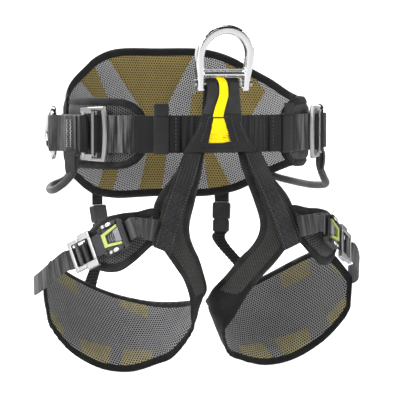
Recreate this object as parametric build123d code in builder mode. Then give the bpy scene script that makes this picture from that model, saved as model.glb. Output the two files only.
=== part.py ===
from build123d import *
import os
from math import atan2, copysign, cos, pi, radians, sin

# Tree climbing saddle: padded waist belt, front bridge with a gated ring, two leg loops.
# Millimetres, +Z up, origin at the centre of the waist loop at belt mid-height.
# The front is -Y. "left" and "right" are the wearer's, so left is +X.

# Waist plan: flat arcs at back and front joined by corner arcs
waist_half_width = 158.0
back_depth = 118.0
back_corner = 84.0
front_depth = 121.0
front_corner = 112.0

# Webbing and padding
belt_height = 45.0
webbing = 2.2
layer_gap = 0.4
belt_gap = 2.6
pad_thickness = 11.0
leg_pad_thickness = 8.0
bridge_webbing = 2.6

# Hardware
ring_depth = 13.0
ring_lean = 11.0
ring_shift = -1.6
gate_bar_radius = 3.4
side_ring_rod = 4.0
buckle_bar_radius = 3.0
keeper_wall = 1.8
gear_tube_radius = 4.5

# Placing
ring_axis_y = -131.0
ring_axis_z = 61.0
side_ring_axis = (177.0, -12.0)
buckle_run = 285.0
buckle_stand_off = 9.0
leg_buckle_centre = Vector(141.4, -137, -119)
leg_buckle_along = Vector(0.67, 0.60, -0.44).normalized()
leg_buckle_out = Vector(0.72, -0.67, 0.17)
rear_strap_run = 88.0

os.makedirs("parts", exist_ok=True)


def save(part, name):
    part.label = name
    export_step(part, f"parts/{name}.step")


def save_pair(part, name):
    """Write the wearer's left piece and its mirror image."""
    save(part, name + "_left")
    with BuildPart() as twin:
        mirror(part, about=Plane.YZ)
    save(twin.part, name + "_right")


def arcs(depth, corner):
    """Corner centre, flat arc's centre distance, its radius and its half angle."""
    across = waist_half_width - corner
    along = depth - corner
    drop = (across**2 - along**2) / (2 * along)
    return across, drop, depth + drop, atan2(across, drop)


back_across, back_drop, back_radius, back_half = arcs(back_depth, back_corner)
front_across, front_drop, front_radius, front_half = arcs(front_depth, front_corner)
back_end = back_radius * back_half
side_point = back_end + back_corner * (pi / 2 - back_half)
corner_end = side_point + front_corner * (pi / 2 - front_half)
front_centre = corner_end + front_radius * front_half
whole_turn = 2 * front_centre


def waist(run, offset=0.0):
    """Point of the waist plan, `run` from the back centre, and its outward direction."""
    if run > front_centre:
        run -= whole_turn
    hand = copysign(1, run)
    run = abs(run)
    if run < back_end:
        centre, radius, turn = (0, -back_drop), back_radius, run / back_radius
    elif run < side_point:
        centre, radius, turn = (back_across, 0), back_corner, back_half + (run - back_end) / back_corner
    elif run < corner_end:
        centre, radius, turn = (front_across, 0), front_corner, pi / 2 + (run - side_point) / front_corner
    else:
        turn = pi - front_half + (run - corner_end) / front_radius
        centre, radius = (0, front_drop), front_radius
    out = Vector(hand * sin(turn), cos(turn), 0)
    reach = radius + offset
    return Vector(hand * centre[0], centre[1], 0) + out * reach, out


def smooth(points, steps):
    """Curve through the points (Catmull-Rom), as a list of tuples."""
    first = tuple(2 * a - b for a, b in zip(points[0], points[1]))
    last = tuple(2 * a - b for a, b in zip(points[-1], points[-2]))
    chain = [first, *points, last]
    curve = []
    for i in range(1, len(chain) - 2):
        for k in range(steps):
            t = k / steps
            curve.append(tuple(
                0.5 * (2 * b + (c - a) * t + (2 * a - 5 * b + 4 * c - d) * t**2 + (3 * b - a - 3 * c + d) * t**3)
                for a, b, c, d in zip(*chain[i - 1:i + 3])))
    curve.append(tuple(points[-1]))
    return curve


def waist_strip(run_1, run_2, offset, thickness, height, z_middle=0.0):
    """Flat webbing bent round the waist plan, with true arcs."""
    half = [back_end, side_point, corner_end]
    stops = [-run for run in half] + half + [whole_turn - run for run in half]
    ends = [run_1] + sorted(stop for stop in stops if run_1 < stop < run_2) + [run_2]
    with BuildPart() as strip:
        with BuildSketch(Plane.XY.offset(z_middle - height / 2)):
            with BuildLine():
                for level in (offset, offset + thickness):
                    for a, b in zip(ends, ends[1:]):
                        ThreePointArc(*(waist(run, level)[0] for run in (a, (a + b) / 2, b)))
                for end in (run_1, run_2):
                    Line(waist(end, offset)[0], waist(end, offset + thickness)[0])
            make_face()
        extrude(amount=height)
    return strip.part


def waist_pad(stations, offset, thickness, steps):
    """Pad on the waist plan; each station is run, top and bottom."""
    with BuildPart() as pad:
        for run, top, bottom in smooth(stations, steps):
            middle, out = waist(run, offset + thickness / 2)
            place = Plane(middle + Vector(0, 0, (top + bottom) / 2), x_dir=out, z_dir=Vector(0, 0, 1).cross(out))
            with BuildSketch(place):
                Rectangle(thickness, top - bottom)
        loft(ruled=True)
    return pad.part


def ribbon(pairs, thickness, steps, lift=0.0):
    """Strap between an upper and a lower edge; thickness grows towards the wearer."""
    rows = smooth([a + b for a, b in pairs], steps)
    middles = [Vector(*(row[i] / 2 + row[i + 3] / 2 for i in range(3))) for row in rows]
    with BuildPart() as strap:
        for i, row in enumerate(rows):
            across = Vector(*row[:3]) - Vector(*row[3:])
            along = middles[min(i + 1, len(rows) - 1)] - middles[max(i - 1, 0)]
            inward = across.cross(along).normalized()
            centre = middles[i] + inward * (thickness / 2 - lift)
            with BuildSketch(Plane(centre, x_dir=across, z_dir=across.cross(inward))):
                Rectangle(across.length, thickness)
        loft(ruled=True)
    return strap.part


# Waist pads
BACK_PAD = [(0, 104, -88), (50, 104, -89), (78, 100, -87), (104, 91, -82), (124, 80, -74),
            (153, 66, -60), (185, 50, -49), (206, 44, -45)]
HIP_PAD = [(207, 44, -44), (240, 43, -43), (290, 43, -43), (316, 42, -42), (332, 37, -37),
           (343, 28, -28), (350, 16, -16), (354, 5, -5)]

back_half_pad = [(-run, top, bottom) for run, top, bottom in BACK_PAD[:0:-1]]
save(waist_pad(back_half_pad + BACK_PAD, -pad_thickness, pad_thickness, 3), "back_pad")
save_pair(waist_pad(HIP_PAD, -pad_thickness - belt_gap, pad_thickness, 3), "hip_pad")

# Waist buckle frame of reference: origin, forward along the belt, outward
buckle_origin, buckle_out = waist(buckle_run, buckle_stand_off)
buckle_forward = Vector(buckle_out.Y, -buckle_out.X, 0)
buckle_plane = Plane(buckle_origin, x_dir=buckle_forward, z_dir=buckle_forward.cross(Vector(0, 0, 1)))
rear_bar = buckle_origin - buckle_forward * 14


def straight_strap(start, end, width, height):
    """Upright strap seen in plan, from a start point to an end point."""
    with BuildPart() as strap:
        with BuildSketch(Plane.XY.offset(-height / 2)):
            with Locations(Plane((start + end) * 0.5, x_dir=end - start, z_dir=(0, 0, 1))):
                Rectangle((end - start).length, width)
        extrude(amount=height)
    return strap.part


def eye_strap(start, eye, bore, height):
    """Doubled webbing from a start point to an eye round an upright bar."""
    with BuildPart() as strap:
        add(straight_strap(start, eye, 2 * webbing, height))
        with Locations((eye.X, eye.Y, 0)):
            Cylinder(bore + webbing, height)
            Cylinder(bore, height, mode=Mode.SUBTRACT)
    return strap.part


# Back belt: one webbing round the back, doubled round the rear bar of each waist buckle
belt_stop = 244.0
strap_start = waist(belt_stop, layer_gap + webbing / 2)[0]
back_strip = waist_strip(-belt_stop, belt_stop, layer_gap, webbing, belt_height)
lug = eye_strap(strap_start, rear_bar, buckle_bar_radius + 0.3, belt_height)
with BuildPart() as back_belt:
    add(back_strip)
    add(lug)
    mirror(lug, about=Plane.YZ)
save(back_belt.part, "back_belt")

# Front belt from buckle to buckle, its two tails and their keepers
front_stop = 300.0
bar_point = buckle_origin + buckle_forward * 4 - buckle_out * 4.4
lead = straight_strap(waist(front_stop, layer_gap + webbing / 2)[0], bar_point, webbing, belt_height)
with BuildPart() as front_belt:
    add(waist_strip(front_stop, whole_turn - front_stop, layer_gap, webbing, belt_height))
    add(lead)
    mirror(lead, about=Plane.YZ)
save(front_belt.part, "front_belt")

tail_start = 302.0
tail_level = 2 * layer_gap + webbing
tail_left_end = 375.0
tail_right_end = 388.0
save(waist_strip(tail_start, tail_left_end, tail_level, webbing, belt_height), "belt_tail_left")
save(waist_strip(whole_turn - tail_right_end, whole_turn - tail_start, tail_level, webbing, belt_height),
     "belt_tail_right")


def keeper(run_1, run_2):
    """Loop round the belt and its tail, with a pull tab above."""
    inner_low = 0.0
    inner_high = tail_level + webbing + layer_gap
    slot_height = belt_height + 2
    with BuildPart() as loop:
        add(waist_strip(run_1, run_2, inner_low - keeper_wall, inner_high - inner_low + 2 * keeper_wall,
                        slot_height + 2 * keeper_wall))
        add(waist_strip(run_1, run_2, inner_low, inner_high - inner_low, slot_height), mode=Mode.SUBTRACT)
        add(waist_strip(run_1, run_2 - 3, inner_high - 0.5, keeper_wall, 13,
                        z_middle=slot_height / 2 + keeper_wall + 6))
    return loop.part


keeper_left_run = (331.5, 348.0)
keeper_right_run = (whole_turn - 375.0, whole_turn - 357.0)
save(keeper(*keeper_left_run), "belt_keeper_left")
save(keeper(*keeper_right_run), "belt_keeper_right")


def soften(solid, plane, radius):
    """Bevel the rims of the faces that lie along a plane."""
    faces = solid.faces().filter_by(lambda face: abs(face.normal_at().dot(plane.z_dir)) > 0.999)
    chamfer(faces.edges(), radius)


# Waist buckle: bowed frame with a rear bar, and a bar that slides to grip the webbing
with BuildPart() as buckle_frame:
    with BuildSketch(buckle_plane.offset(-2)):
        with BuildLine():
            Line((-8, 32), (-8, 28.5))
            Line((-8, 28.5), (13, 28.5))
            ThreePointArc((13, 28.5), (15.5, 0), (13, -28.5))
            Line((13, -28.5), (-8, -28.5))
            Line((-8, -28.5), (-8, -32))
            Line((-8, -32), (17, -33))
            ThreePointArc((17, -33), (21.5, 0), (17, 33))
            Line((17, 33), (-8, 32))
        make_face()
    extrude(amount=5)
    soften(buckle_frame, buckle_plane, 0.9)
    with BuildSketch(buckle_plane):
        for side in (-1, 1):
            with Locations((-9, side * 28)):
                RectangleRounded(17, 7, 2)
    extrude(amount=2, both=True)
    with Locations(Plane(rear_bar)):
        Cylinder(buckle_bar_radius, 55)
save_pair(buckle_frame.part, "waist_buckle_frame")

with BuildPart() as buckle_bar:
    with BuildSketch(Plane(buckle_origin + buckle_forward * 3.8 + buckle_out * 0.5, x_dir=buckle_forward)):
        RectangleRounded(7, 3.4, 1.6)
    extrude(amount=27.6, both=True)
save_pair(buckle_bar.part, "waist_buckle_bar")

# Side attachment: webbing tab, ring bar and D ring folded back against the pad
ring_bar = Vector(*side_ring_axis, 0)
tab_base = Vector(159.4, -42, 0)
save_pair(eye_strap(tab_base, ring_bar, side_ring_rod + 0.5, belt_height), "side_tab")

ring_back = Vector(-0.22, 0.975, 0).normalized()
ring_plane = Plane(ring_bar, x_dir=ring_back, z_dir=ring_back.cross(Vector(0, 0, 1)))
with BuildPart() as side_ring:
    with BuildLine(ring_plane) as bow:
        Line((0, 0), (0, 23))
        RadiusArc((0, 23), (6.5, 29.5), 6.5)
        ThreePointArc((6.5, 29.5), (36, 0), (6.5, -29.5))
        RadiusArc((6.5, -29.5), (0, -23), 6.5)
        Line((0, -23), (0, 0))
    with BuildSketch(Plane(ring_bar)):
        Circle(side_ring_rod)
    sweep(path=bow.line)
save_pair(side_ring.part, "side_ring")

# Front bridge: an A of webbing in front of the belt, hung on the gate bar of the ring
loop_radius = gate_bar_radius + 0.5 + bridge_webbing
bridge_face = [(ring_axis_y - loop_radius, ring_axis_z), (-136.5, 46), (-132.5, 26), (-131, 10), (-131, -22)]


def front_sheet(face, lift, thickness, outline):
    """Sheet whose side view follows a face line and whose front view is an outline."""
    with BuildPart() as sheet:
        with BuildSketch(Plane.YZ.offset(-60)):
            with BuildLine():
                Polyline(*((y - lift, z) for y, z in face))
                Polyline(*((y - lift + thickness, z) for y, z in face))
                for y, z in (face[0], face[-1]):
                    Line((y - lift, z), (y - lift + thickness, z))
            make_face()
        extrude(amount=120)
        with BuildSketch(Plane.XZ.offset(100)):
            add(outline)
        extrude(amount=60, mode=Mode.INTERSECT)
    return sheet.part


# Height, right edge and left edge; the bridge hangs a little to the wearer's right
BRIDGE = [(61, -25.3, 17.6), (50, -25.2, 18.6), (38, -25.6, 20.6), (24, -28.4, 23.2), (8, -33.7, 24.8),
          (-8, -42.4, 33.5), (-21.5, -51.5, 44)]
with BuildSketch() as bridge_outline:
    with BuildLine():
        right_edge = Polyline(*((right, z) for z, right, _ in BRIDGE))
        left_edge = Polyline(*((left, z) for z, _, left in BRIDGE))
        Line(right_edge @ 0, left_edge @ 0)
        Line(right_edge @ 1, left_edge @ 1)
    make_face()
save(front_sheet(bridge_face, 0, bridge_webbing, bridge_outline.sketch), "bridge_front")

BACK_WEB = [(ring_axis_z, loop_radius), (30, 14), (10, 16.5), (-22, 16.5)]
top_right, top_left = BRIDGE[0][1:]
with BuildPart() as bridge_back:
    with BuildSketch(Plane.YZ.offset(top_right)):
        with BuildLine():
            for reach in (loop_radius, loop_radius - bridge_webbing):
                ThreePointArc((ring_axis_y - reach, ring_axis_z + 0.2), (ring_axis_y, ring_axis_z + reach),
                              (ring_axis_y + reach, ring_axis_z))
                Polyline(*((ring_axis_y + y + reach - loop_radius, z) for z, y in BACK_WEB))
            front_end = (ring_axis_y - loop_radius, ring_axis_z + 0.2)
            back_end_point = (ring_axis_y + BACK_WEB[-1][1] - bridge_webbing, BACK_WEB[-1][0])
            for y, z in (front_end, back_end_point):
                Line((y, z), (y + bridge_webbing, z))
        make_face()
    extrude(amount=top_left - top_right)
save(bridge_back.part, "bridge_back")

PATCH_STRIP = [(-3.4, 60, 5.4), (-2.4, 52, 5.6), (-2.6, 45, 6.0), (-4.4, 37.5, 6.4), (-7.9, 19, 6.7)]
with BuildSketch() as patch_outline:
    with BuildLine():
        Spline(*((x - half, z) for x, z, half in PATCH_STRIP))
        Spline(*((x + half, z) for x, z, half in PATCH_STRIP))
        for x, z, half in (PATCH_STRIP[0], PATCH_STRIP[-1]):
            Line((x - half, z), (x + half, z))
    make_face()
    with BuildLine():
        Polyline((-13.6, 19.5), (-1.6, 19.5), (9.5, -11), (-19.5, -11), close=True)
    make_face()
save(front_sheet(bridge_face, 0.9, 0.7, patch_outline.sketch), "bridge_patch")

# Ventral ring: bowed ring with a crossbar, and a gate bar held by two screws
ring_top = 127.0
bow_radius = 35.5
bow_centre = ring_top - bow_radius
leg_foot = 52.0
bar_foot = 68.8
bar_head = 74.6
rod_height = 78.6
with BuildPart() as upright_ring:
    with BuildSketch(Plane.XZ.offset(-ring_axis_y - ring_depth / 2)):
        with BuildLine():
            Line((-25, leg_foot), (-33, leg_foot))
            Line((-33, leg_foot), (-bow_radius, bow_centre))
            ThreePointArc((-bow_radius, bow_centre), (0, ring_top), (bow_radius, bow_centre))
            Line((bow_radius, bow_centre), (33, leg_foot))
            Line((33, leg_foot), (25, leg_foot))
            Polyline((25, leg_foot), (25, bar_foot), (-25, bar_foot), (-25, leg_foot))
        make_face()
        with BuildLine():
            Line((-25, bar_head), (-25.5, bow_centre - 2))
            ThreePointArc((-25.5, bow_centre - 2), (0, bow_centre + 23.5), (25.5, bow_centre - 2))
            Line((25.5, bow_centre - 2), (25, bar_head))
            Line((25, bar_head), (-25, bar_head))
        make_face(mode=Mode.SUBTRACT)
    extrude(amount=ring_depth)
    soften(upright_ring, Plane.XZ, 2.4)
    with Locations(Plane((0, ring_axis_y - 3, rod_height), x_dir=(0, 0, 1), z_dir=(1, 0, 0))):
        Cylinder(1.3, 52)
    for side in (-1, 1):
        with Locations((side * 24.8, ring_axis_y - 3.5, leg_foot + 2)):
            Box(1.4, 5, 3.6)
        with Locations(Plane((side * 29, ring_axis_y, ring_axis_z), x_dir=(0, 0, 1), z_dir=(1, 0, 0))):
            Cylinder(2.6, 12, mode=Mode.SUBTRACT)
with BuildPart() as ventral_ring:
    add(upright_ring.part.rotate(Axis((0, ring_axis_y, ring_axis_z), (1, 0, 0)), ring_lean).moved(
        Location((ring_shift, 0, 0))))
save(ventral_ring.part, "ventral_ring")

gate_axis = Plane((ring_shift, ring_axis_y, ring_axis_z), x_dir=(0, 0, 1), z_dir=(1, 0, 0))
with BuildPart() as gate_bar:
    with Locations(gate_axis):
        Cylinder(gate_bar_radius, 49.8)
save(gate_bar.part, "ring_gate_bar")

with BuildPart() as gate_screws:
    for side in (-1, 1):
        with Locations(gate_axis.offset(side * 29.6)):
            Cylinder(2.4, 9)
        with Locations(gate_axis.offset(side * 35.2)):
            Cylinder(4.3, 2.4)
        with Locations(gate_axis.offset(side * 36)):
            Cylinder(1.7, 1.6, mode=Mode.SUBTRACT)
save(gate_screws.part, "ring_gate_screws")

# Leg loops: each pair is a point of the outer or lower edge and a point of the inner or upper edge
STEM = [((49, -125, -25.5), (22, -126, -26)), ((57, -127, -41), (27, -130, -46)),
        ((71, -130, -58), (33, -134, -64)), ((85, -132, -76), (40, -138, -86)),
        ((91, -136, -95), (45, -139, -106)), ((89, -140, -118), (43, -137, -122)),
        ((77, -142, -138), (35, -131, -137)), ((62, -139, -157), (24, -120, -151)),
        ((48, -131, -174), (12, -105, -172))]
CROTCH = [((35, -116, -197), (4, -87, -190)), ((25, -96, -225), (3, -66, -203)),
          ((18, -77, -246), (7, -44, -209)), ((33, -52, -277), (20, -4, -215))]


def rear_edge_top(turn):
    return (105.7 + 98.9 * cos(turn), -45.5 + 91.5 * sin(turn),
            -185 + 32.7 * cos(turn) - 4.4 * sin(turn) + 9.4 * cos(2 * turn) + 5.1 * sin(2 * turn))


def rear_edge_bottom(turn):
    return (104 + 100.8 * cos(turn), -64.5 + 24.6 * sin(turn),
            -221 + 5.2 * cos(turn) - 66.4 * sin(turn) + 8 * cos(2 * turn) + 2.9 * sin(2 * turn))


REAR = [(rear_edge_bottom(radians(b)), rear_edge_top(radians(a)))
        for a, b in ((125, 120), (100, 98), (75, 75), (50, 50), (25, 27), (8, 14))]
front_pad = ribbon(STEM, leg_pad_thickness, 2)
save_pair(front_pad, "leg_front_pad")
save_pair(ribbon([STEM[-1]] + CROTCH + REAR, leg_pad_thickness, 2), "leg_pad")

WING = [((80, -133.5, -88), (82, -143, -126)), ((93, -134, -86), (95, -142.5, -131)),
        ((110, -134, -90), (112, -138, -147)), ((128, -131, -92), (128, -129, -160)),
        ((145, -119, -97), (143, -118, -163)), ((157, -108, -107), (157, -105, -158)),
        ((166, -96, -121), (166, -95, -146))]
with BuildPart() as buckle_pad:
    add(ribbon(WING, leg_pad_thickness, 3))
    add(front_pad, mode=Mode.SUBTRACT)
save_pair(buckle_pad.part, "buckle_pad")

RISER = [((50, -129, -27), (30, -131, -28)), ((61, -132, -50), (38, -136, -52)),
         ((74, -137, -78), (50, -141, -82)), ((86, -142.5, -107), (62, -144, -114)),
         ((98, -147, -141), (74, -148.5, -152))]
save_pair(ribbon(RISER, webbing, 3), "leg_riser")

# Leg buckle frame of reference: along the strap, up across it, outward
buckle_face = Plane(leg_buckle_centre, x_dir=leg_buckle_along,
                    z_dir=leg_buckle_out - leg_buckle_along * leg_buckle_out.dot(leg_buckle_along))


def on_buckle(x, y, z):
    return buckle_face.from_local_coords(Vector(x, y, z))


def edge_pair(x, z, half_width):
    return (tuple(on_buckle(x, half_width, z)), tuple(on_buckle(x, -half_width, z)))


# Fixed strap from under the riser to the socket
SOCKET_STRAP = [((98, -147, -98), (101, -149, -123)), edge_pair(-30, -3, 12.5), edge_pair(-18.5, -4, 12.5)]
save_pair(ribbon(SOCKET_STRAP, webbing, 3), "leg_socket_strap")

# Socket, its coloured cover and two sprung release levers
socket_length = 34.0
socket_width = 38.0
socket_depth = 7.5
tongue_width = 26.0
tongue_thickness = 2.6
with BuildPart() as socket:
    with BuildSketch(buckle_face.offset(-socket_depth)):
        RectangleRounded(socket_length, socket_width, 4)
    extrude(amount=socket_depth - 1.5)
    with BuildSketch(Plane(on_buckle(-10, 0, -5), x_dir=buckle_face.y_dir, z_dir=buckle_face.x_dir)):
        Rectangle(tongue_width + 1, tongue_thickness + 1)
    extrude(amount=socket_length / 2 + 11, mode=Mode.SUBTRACT)
save_pair(socket.part, "leg_buckle_socket")

with BuildPart() as cover:
    with BuildSketch(buckle_face.offset(-1.4)):
        Polygon((14, 8), (-9, 12.4), (-9, 9.6), (9, 5.6), (9, -5.6), (-9, -9.6), (-9, -12.4), (14, -8),
                align=None)
    extrude(amount=2.4)
save_pair(cover.part, "leg_buckle_trim")

with BuildPart() as thumb_pad:
    with BuildSketch(buckle_face.offset(-1.4)):
        Polygon((8.5, 5.2), (-10, 9.3), (-10, -9.3), (8.5, -5.2), align=None)
    extrude(amount=1.2)
    for step in range(3):
        with BuildSketch(buckle_face.offset(-0.2)):
            with Locations((5.5 - 5 * step, 0)):
                RectangleRounded(2.4, 8 + 2.4 * step, 1)
        extrude(amount=0.7)
save_pair(thumb_pad.part, "leg_buckle_thumb_pad")

for name, side in (("upper", 1), ("lower", -1)):
    with BuildPart() as lever:
        with BuildSketch(buckle_face.offset(-1.3)):
            with Locations((0, side * 16.2)):
                RectangleRounded(19, 5.4, 2.6)
        extrude(amount=2.6)
    save_pair(lever.part, f"release_lever_{name}")

# Sliding half: tongued frame, and the knurled bar that grips the leg strap
frame_x = 45.0
with BuildPart() as strap_frame:
    with BuildSketch(buckle_face.offset(-6.5)):
        Polygon((frame_x - 16, 22), (frame_x - 16, -22), (frame_x + 16, -18.5), (frame_x + 16, 18.5), align=None)
        with Locations((frame_x, 0)):
            Rectangle(23, 28.4, mode=Mode.SUBTRACT)
    extrude(amount=5)
    soften(strap_frame, buckle_face, 1.0)
    with BuildSketch(Plane(on_buckle(frame_x - 15, 0, -5), x_dir=buckle_face.y_dir, z_dir=buckle_face.x_dir)):
        Rectangle(tongue_width, tongue_thickness)
    extrude(amount=-25)
save_pair(strap_frame.part, "leg_buckle_frame")

with BuildPart() as grip_bar:
    with Locations(Plane(on_buckle(frame_x + 5.5, 0, -4), x_dir=buckle_face.x_dir, z_dir=buckle_face.y_dir)):
        Cylinder(2.8, 27.4)
save_pair(grip_bar.part, "leg_strap_grip_bar")

# Leg strap from the sliding half round to the outside of the leg pad
LEG_STRAP = [edge_pair(frame_x + 18, -4, 12.5), ((190, -92, -139), (186, -93, -163)),
             ((201, -79, -151), (198, -80, -175)), ((208, -63, -162), (207, -64, -187)),
             ((209.5, -47, -168), (209.5, -48, -193)), ((208.3, -31, -172), (208.6, -33, -196))]
save_pair(ribbon(LEG_STRAP, webbing, 3), "leg_strap")

# Rear suspension: strap, side-release clip and elastic down to each leg pad
strap_top, strap_out = waist(rear_strap_run, 1.5)
clip_across = Vector(strap_out.Y, -strap_out.X, 0)
clip_up = Vector(0.096, 0.183, 0.978)
clip_origin = Vector(84, 101, -109)
clip_face = Plane(clip_origin, x_dir=clip_across, z_dir=clip_across.cross(clip_up))


def on_clip(x, y, z):
    return tuple(clip_face.from_local_coords(Vector(x, y, z)))


strap_high = strap_top + Vector(0, 0, -60)
REAR_STRAP = [(tuple(strap_high - clip_across * 8), tuple(strap_high + clip_across * 8)),
              (on_clip(-8, 26, 4), on_clip(8, 26, 4)), (on_clip(-8, 12.5, 1.1), on_clip(8, 12.5, 1.1))]
save_pair(ribbon([(b, a) for a, b in REAR_STRAP], webbing, 3), "rear_strap")

with BuildPart() as clip_socket:
    with BuildSketch(clip_face.offset(-4)):
        with Locations((0, 1)):
            RectangleRounded(23, 22, 3)
    extrude(amount=8)
    with BuildSketch(Plane(on_clip(0, -11, 0), x_dir=clip_face.x_dir, z_dir=clip_face.y_dir)):
        Rectangle(18, 5)
    extrude(amount=17, mode=Mode.SUBTRACT)
save_pair(clip_socket.part, "rear_clip_socket")

with BuildPart() as clip_plug:
    with BuildSketch(clip_face.offset(-4)):
        with Locations((0, -18.6)):
            RectangleRounded(21, 16, 2.5)
    extrude(amount=8)
    with BuildSketch(clip_face.offset(-2)):
        for side in (-1, 1):
            with Locations((side * 6, -3.6)):
                Rectangle(4, 15)
        with Locations((0, -4.6)):
            Rectangle(3, 13)
    extrude(amount=4)
    with BuildSketch(Plane(on_clip(0, -27, 0), x_dir=clip_face.x_dir, z_dir=clip_face.y_dir)):
        Rectangle(16.4, 4)
    extrude(amount=13, mode=Mode.SUBTRACT)
save_pair(clip_plug.part, "rear_clip_plug")

elastic_foot = Vector(*rear_edge_top(radians(87)))
foot_out = Vector(0, 0.745, -0.667)
foot_down = Vector(-0.06, -0.667, -0.743)
ELASTIC = [(on_clip(-7.5, -25.4, 0.8), on_clip(7.5, -25.4, 0.8)), (on_clip(-7.5, -40, 0.9), on_clip(7.5, -40, 0.9))]
for centre in (elastic_foot + foot_out * 3.6 - foot_down * 5, elastic_foot + foot_out * 3.4 + foot_down * 16):
    ELASTIC.append((tuple(centre - Vector(7.5, 0, 0)), tuple(centre + Vector(7.5, 0, 0))))
save_pair(ribbon([(b, a) for a, b in ELASTIC], 1.6, 3), "leg_elastic")

# Gear loops: a stiff tube from a front anchor to a rear anchor
GEAR_LOOP = [(160, -46, -28), (161, -45, -44), (172, -38, -58), (185, -26, -68), (180, 10, -71),
             (163, 48, -66), (138, 78, -56), (121, 95, -43)]
with BuildPart() as gear_loop:
    with BuildLine() as gear_path:
        FilletPolyline(*GEAR_LOOP, radius=12)
    with BuildSketch(Plane(gear_path.line @ 0, z_dir=gear_path.line % 0)):
        Circle(gear_tube_radius)
    sweep(path=gear_path.line)
save_pair(gear_loop.part, "gear_loop")
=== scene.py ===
from bisect import bisect_right
from math import atan2, ceil, copysign, cos, hypot, pi, radians, sin

import bmesh
import bpy
import numpy as np
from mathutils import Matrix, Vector, geometry


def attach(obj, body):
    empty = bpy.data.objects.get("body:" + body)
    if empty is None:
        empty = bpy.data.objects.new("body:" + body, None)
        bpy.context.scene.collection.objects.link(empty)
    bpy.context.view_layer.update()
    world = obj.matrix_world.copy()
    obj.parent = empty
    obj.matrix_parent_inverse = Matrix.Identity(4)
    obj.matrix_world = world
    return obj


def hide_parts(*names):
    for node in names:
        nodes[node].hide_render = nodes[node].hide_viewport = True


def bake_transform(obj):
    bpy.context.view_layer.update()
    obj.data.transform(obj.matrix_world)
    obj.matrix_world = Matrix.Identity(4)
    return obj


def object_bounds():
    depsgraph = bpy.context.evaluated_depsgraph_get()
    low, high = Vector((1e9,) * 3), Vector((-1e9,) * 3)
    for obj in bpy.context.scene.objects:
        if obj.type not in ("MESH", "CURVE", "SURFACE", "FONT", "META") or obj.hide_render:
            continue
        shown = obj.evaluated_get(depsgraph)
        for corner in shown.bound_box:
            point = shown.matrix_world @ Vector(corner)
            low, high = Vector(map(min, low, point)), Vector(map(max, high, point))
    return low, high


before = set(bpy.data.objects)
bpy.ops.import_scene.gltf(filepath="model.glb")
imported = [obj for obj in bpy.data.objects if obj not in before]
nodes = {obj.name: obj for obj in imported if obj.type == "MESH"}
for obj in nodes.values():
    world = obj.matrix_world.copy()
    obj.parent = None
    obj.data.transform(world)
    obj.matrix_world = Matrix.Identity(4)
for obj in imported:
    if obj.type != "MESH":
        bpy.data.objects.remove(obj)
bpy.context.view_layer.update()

# Lengths below are millimetres, as in the CAD source; meshes are scaled to metres when made.
MM = 0.001
SIDES = (("left", 1), ("right", -1))

# ---------------- waist plan
waist_half_width = 158.0
back_depth = 118.0
back_corner = 84.0
front_depth = 121.0
front_corner = 112.0
belt_height = 45.0
webbing = 2.2
layer_gap = 0.4
belt_gap = 2.6
pad_thickness = 11.0
leg_pad_thickness = 8.0


def arcs(depth, corner):
    across = waist_half_width - corner
    along = depth - corner
    drop = (across**2 - along**2) / (2 * along)
    return across, drop, depth + drop, atan2(across, drop)


back_across, back_drop, back_radius, back_half = arcs(back_depth, back_corner)
front_across, front_drop, front_radius, front_half = arcs(front_depth, front_corner)
back_end = back_radius * back_half
side_point = back_end + back_corner * (pi / 2 - back_half)
corner_end = side_point + front_corner * (pi / 2 - front_half)
front_centre = corner_end + front_radius * front_half
whole_turn = 2 * front_centre


def waist(run, offset):
    """Point of the waist plan, `run` from the back centre, and its outward direction."""
    if run > front_centre:
        run -= whole_turn
    hand = copysign(1, run)
    run = abs(run)
    if run < back_end:
        centre, radius, turn = (0, -back_drop), back_radius, run / back_radius
    elif run < side_point:
        centre, radius, turn = (back_across, 0), back_corner, back_half + (run - back_end) / back_corner
    elif run < corner_end:
        centre, radius, turn = (front_across, 0), front_corner, pi / 2 + (run - side_point) / front_corner
    else:
        turn = pi - front_half + (run - corner_end) / front_radius
        centre, radius = (0, front_drop), front_radius
    out = Vector((hand * sin(turn), cos(turn), 0))
    return Vector((hand * centre[0], centre[1], 0)) + out * (radius + offset), out


def smooth(points, steps):
    """Curve through the points (Catmull-Rom), as a list of tuples."""
    first = tuple(2 * a - b for a, b in zip(points[0], points[1]))
    last = tuple(2 * a - b for a, b in zip(points[-1], points[-2]))
    chain = [first, *points, last]
    curve = []
    for i in range(1, len(chain) - 2):
        for k in range(steps):
            t = k / steps
            curve.append(tuple(
                0.5 * (2 * b + (c - a) * t + (2 * a - 5 * b + 4 * c - d) * t**2
                       + (3 * b - a - 3 * c + d) * t**3)
                for a, b, c, d in zip(*chain[i - 1:i + 3])))
    curve.append(tuple(points[-1]))
    return curve


def step(value, low, high):
    """Smooth step from 0 at low to 1 at high."""
    t = min(max((value - low) / (high - low), 0.0), 1.0)
    return t * t * (3 - 2 * t)


# ---------------- surfaces to sew on
BAND_STEPS = 8


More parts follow.
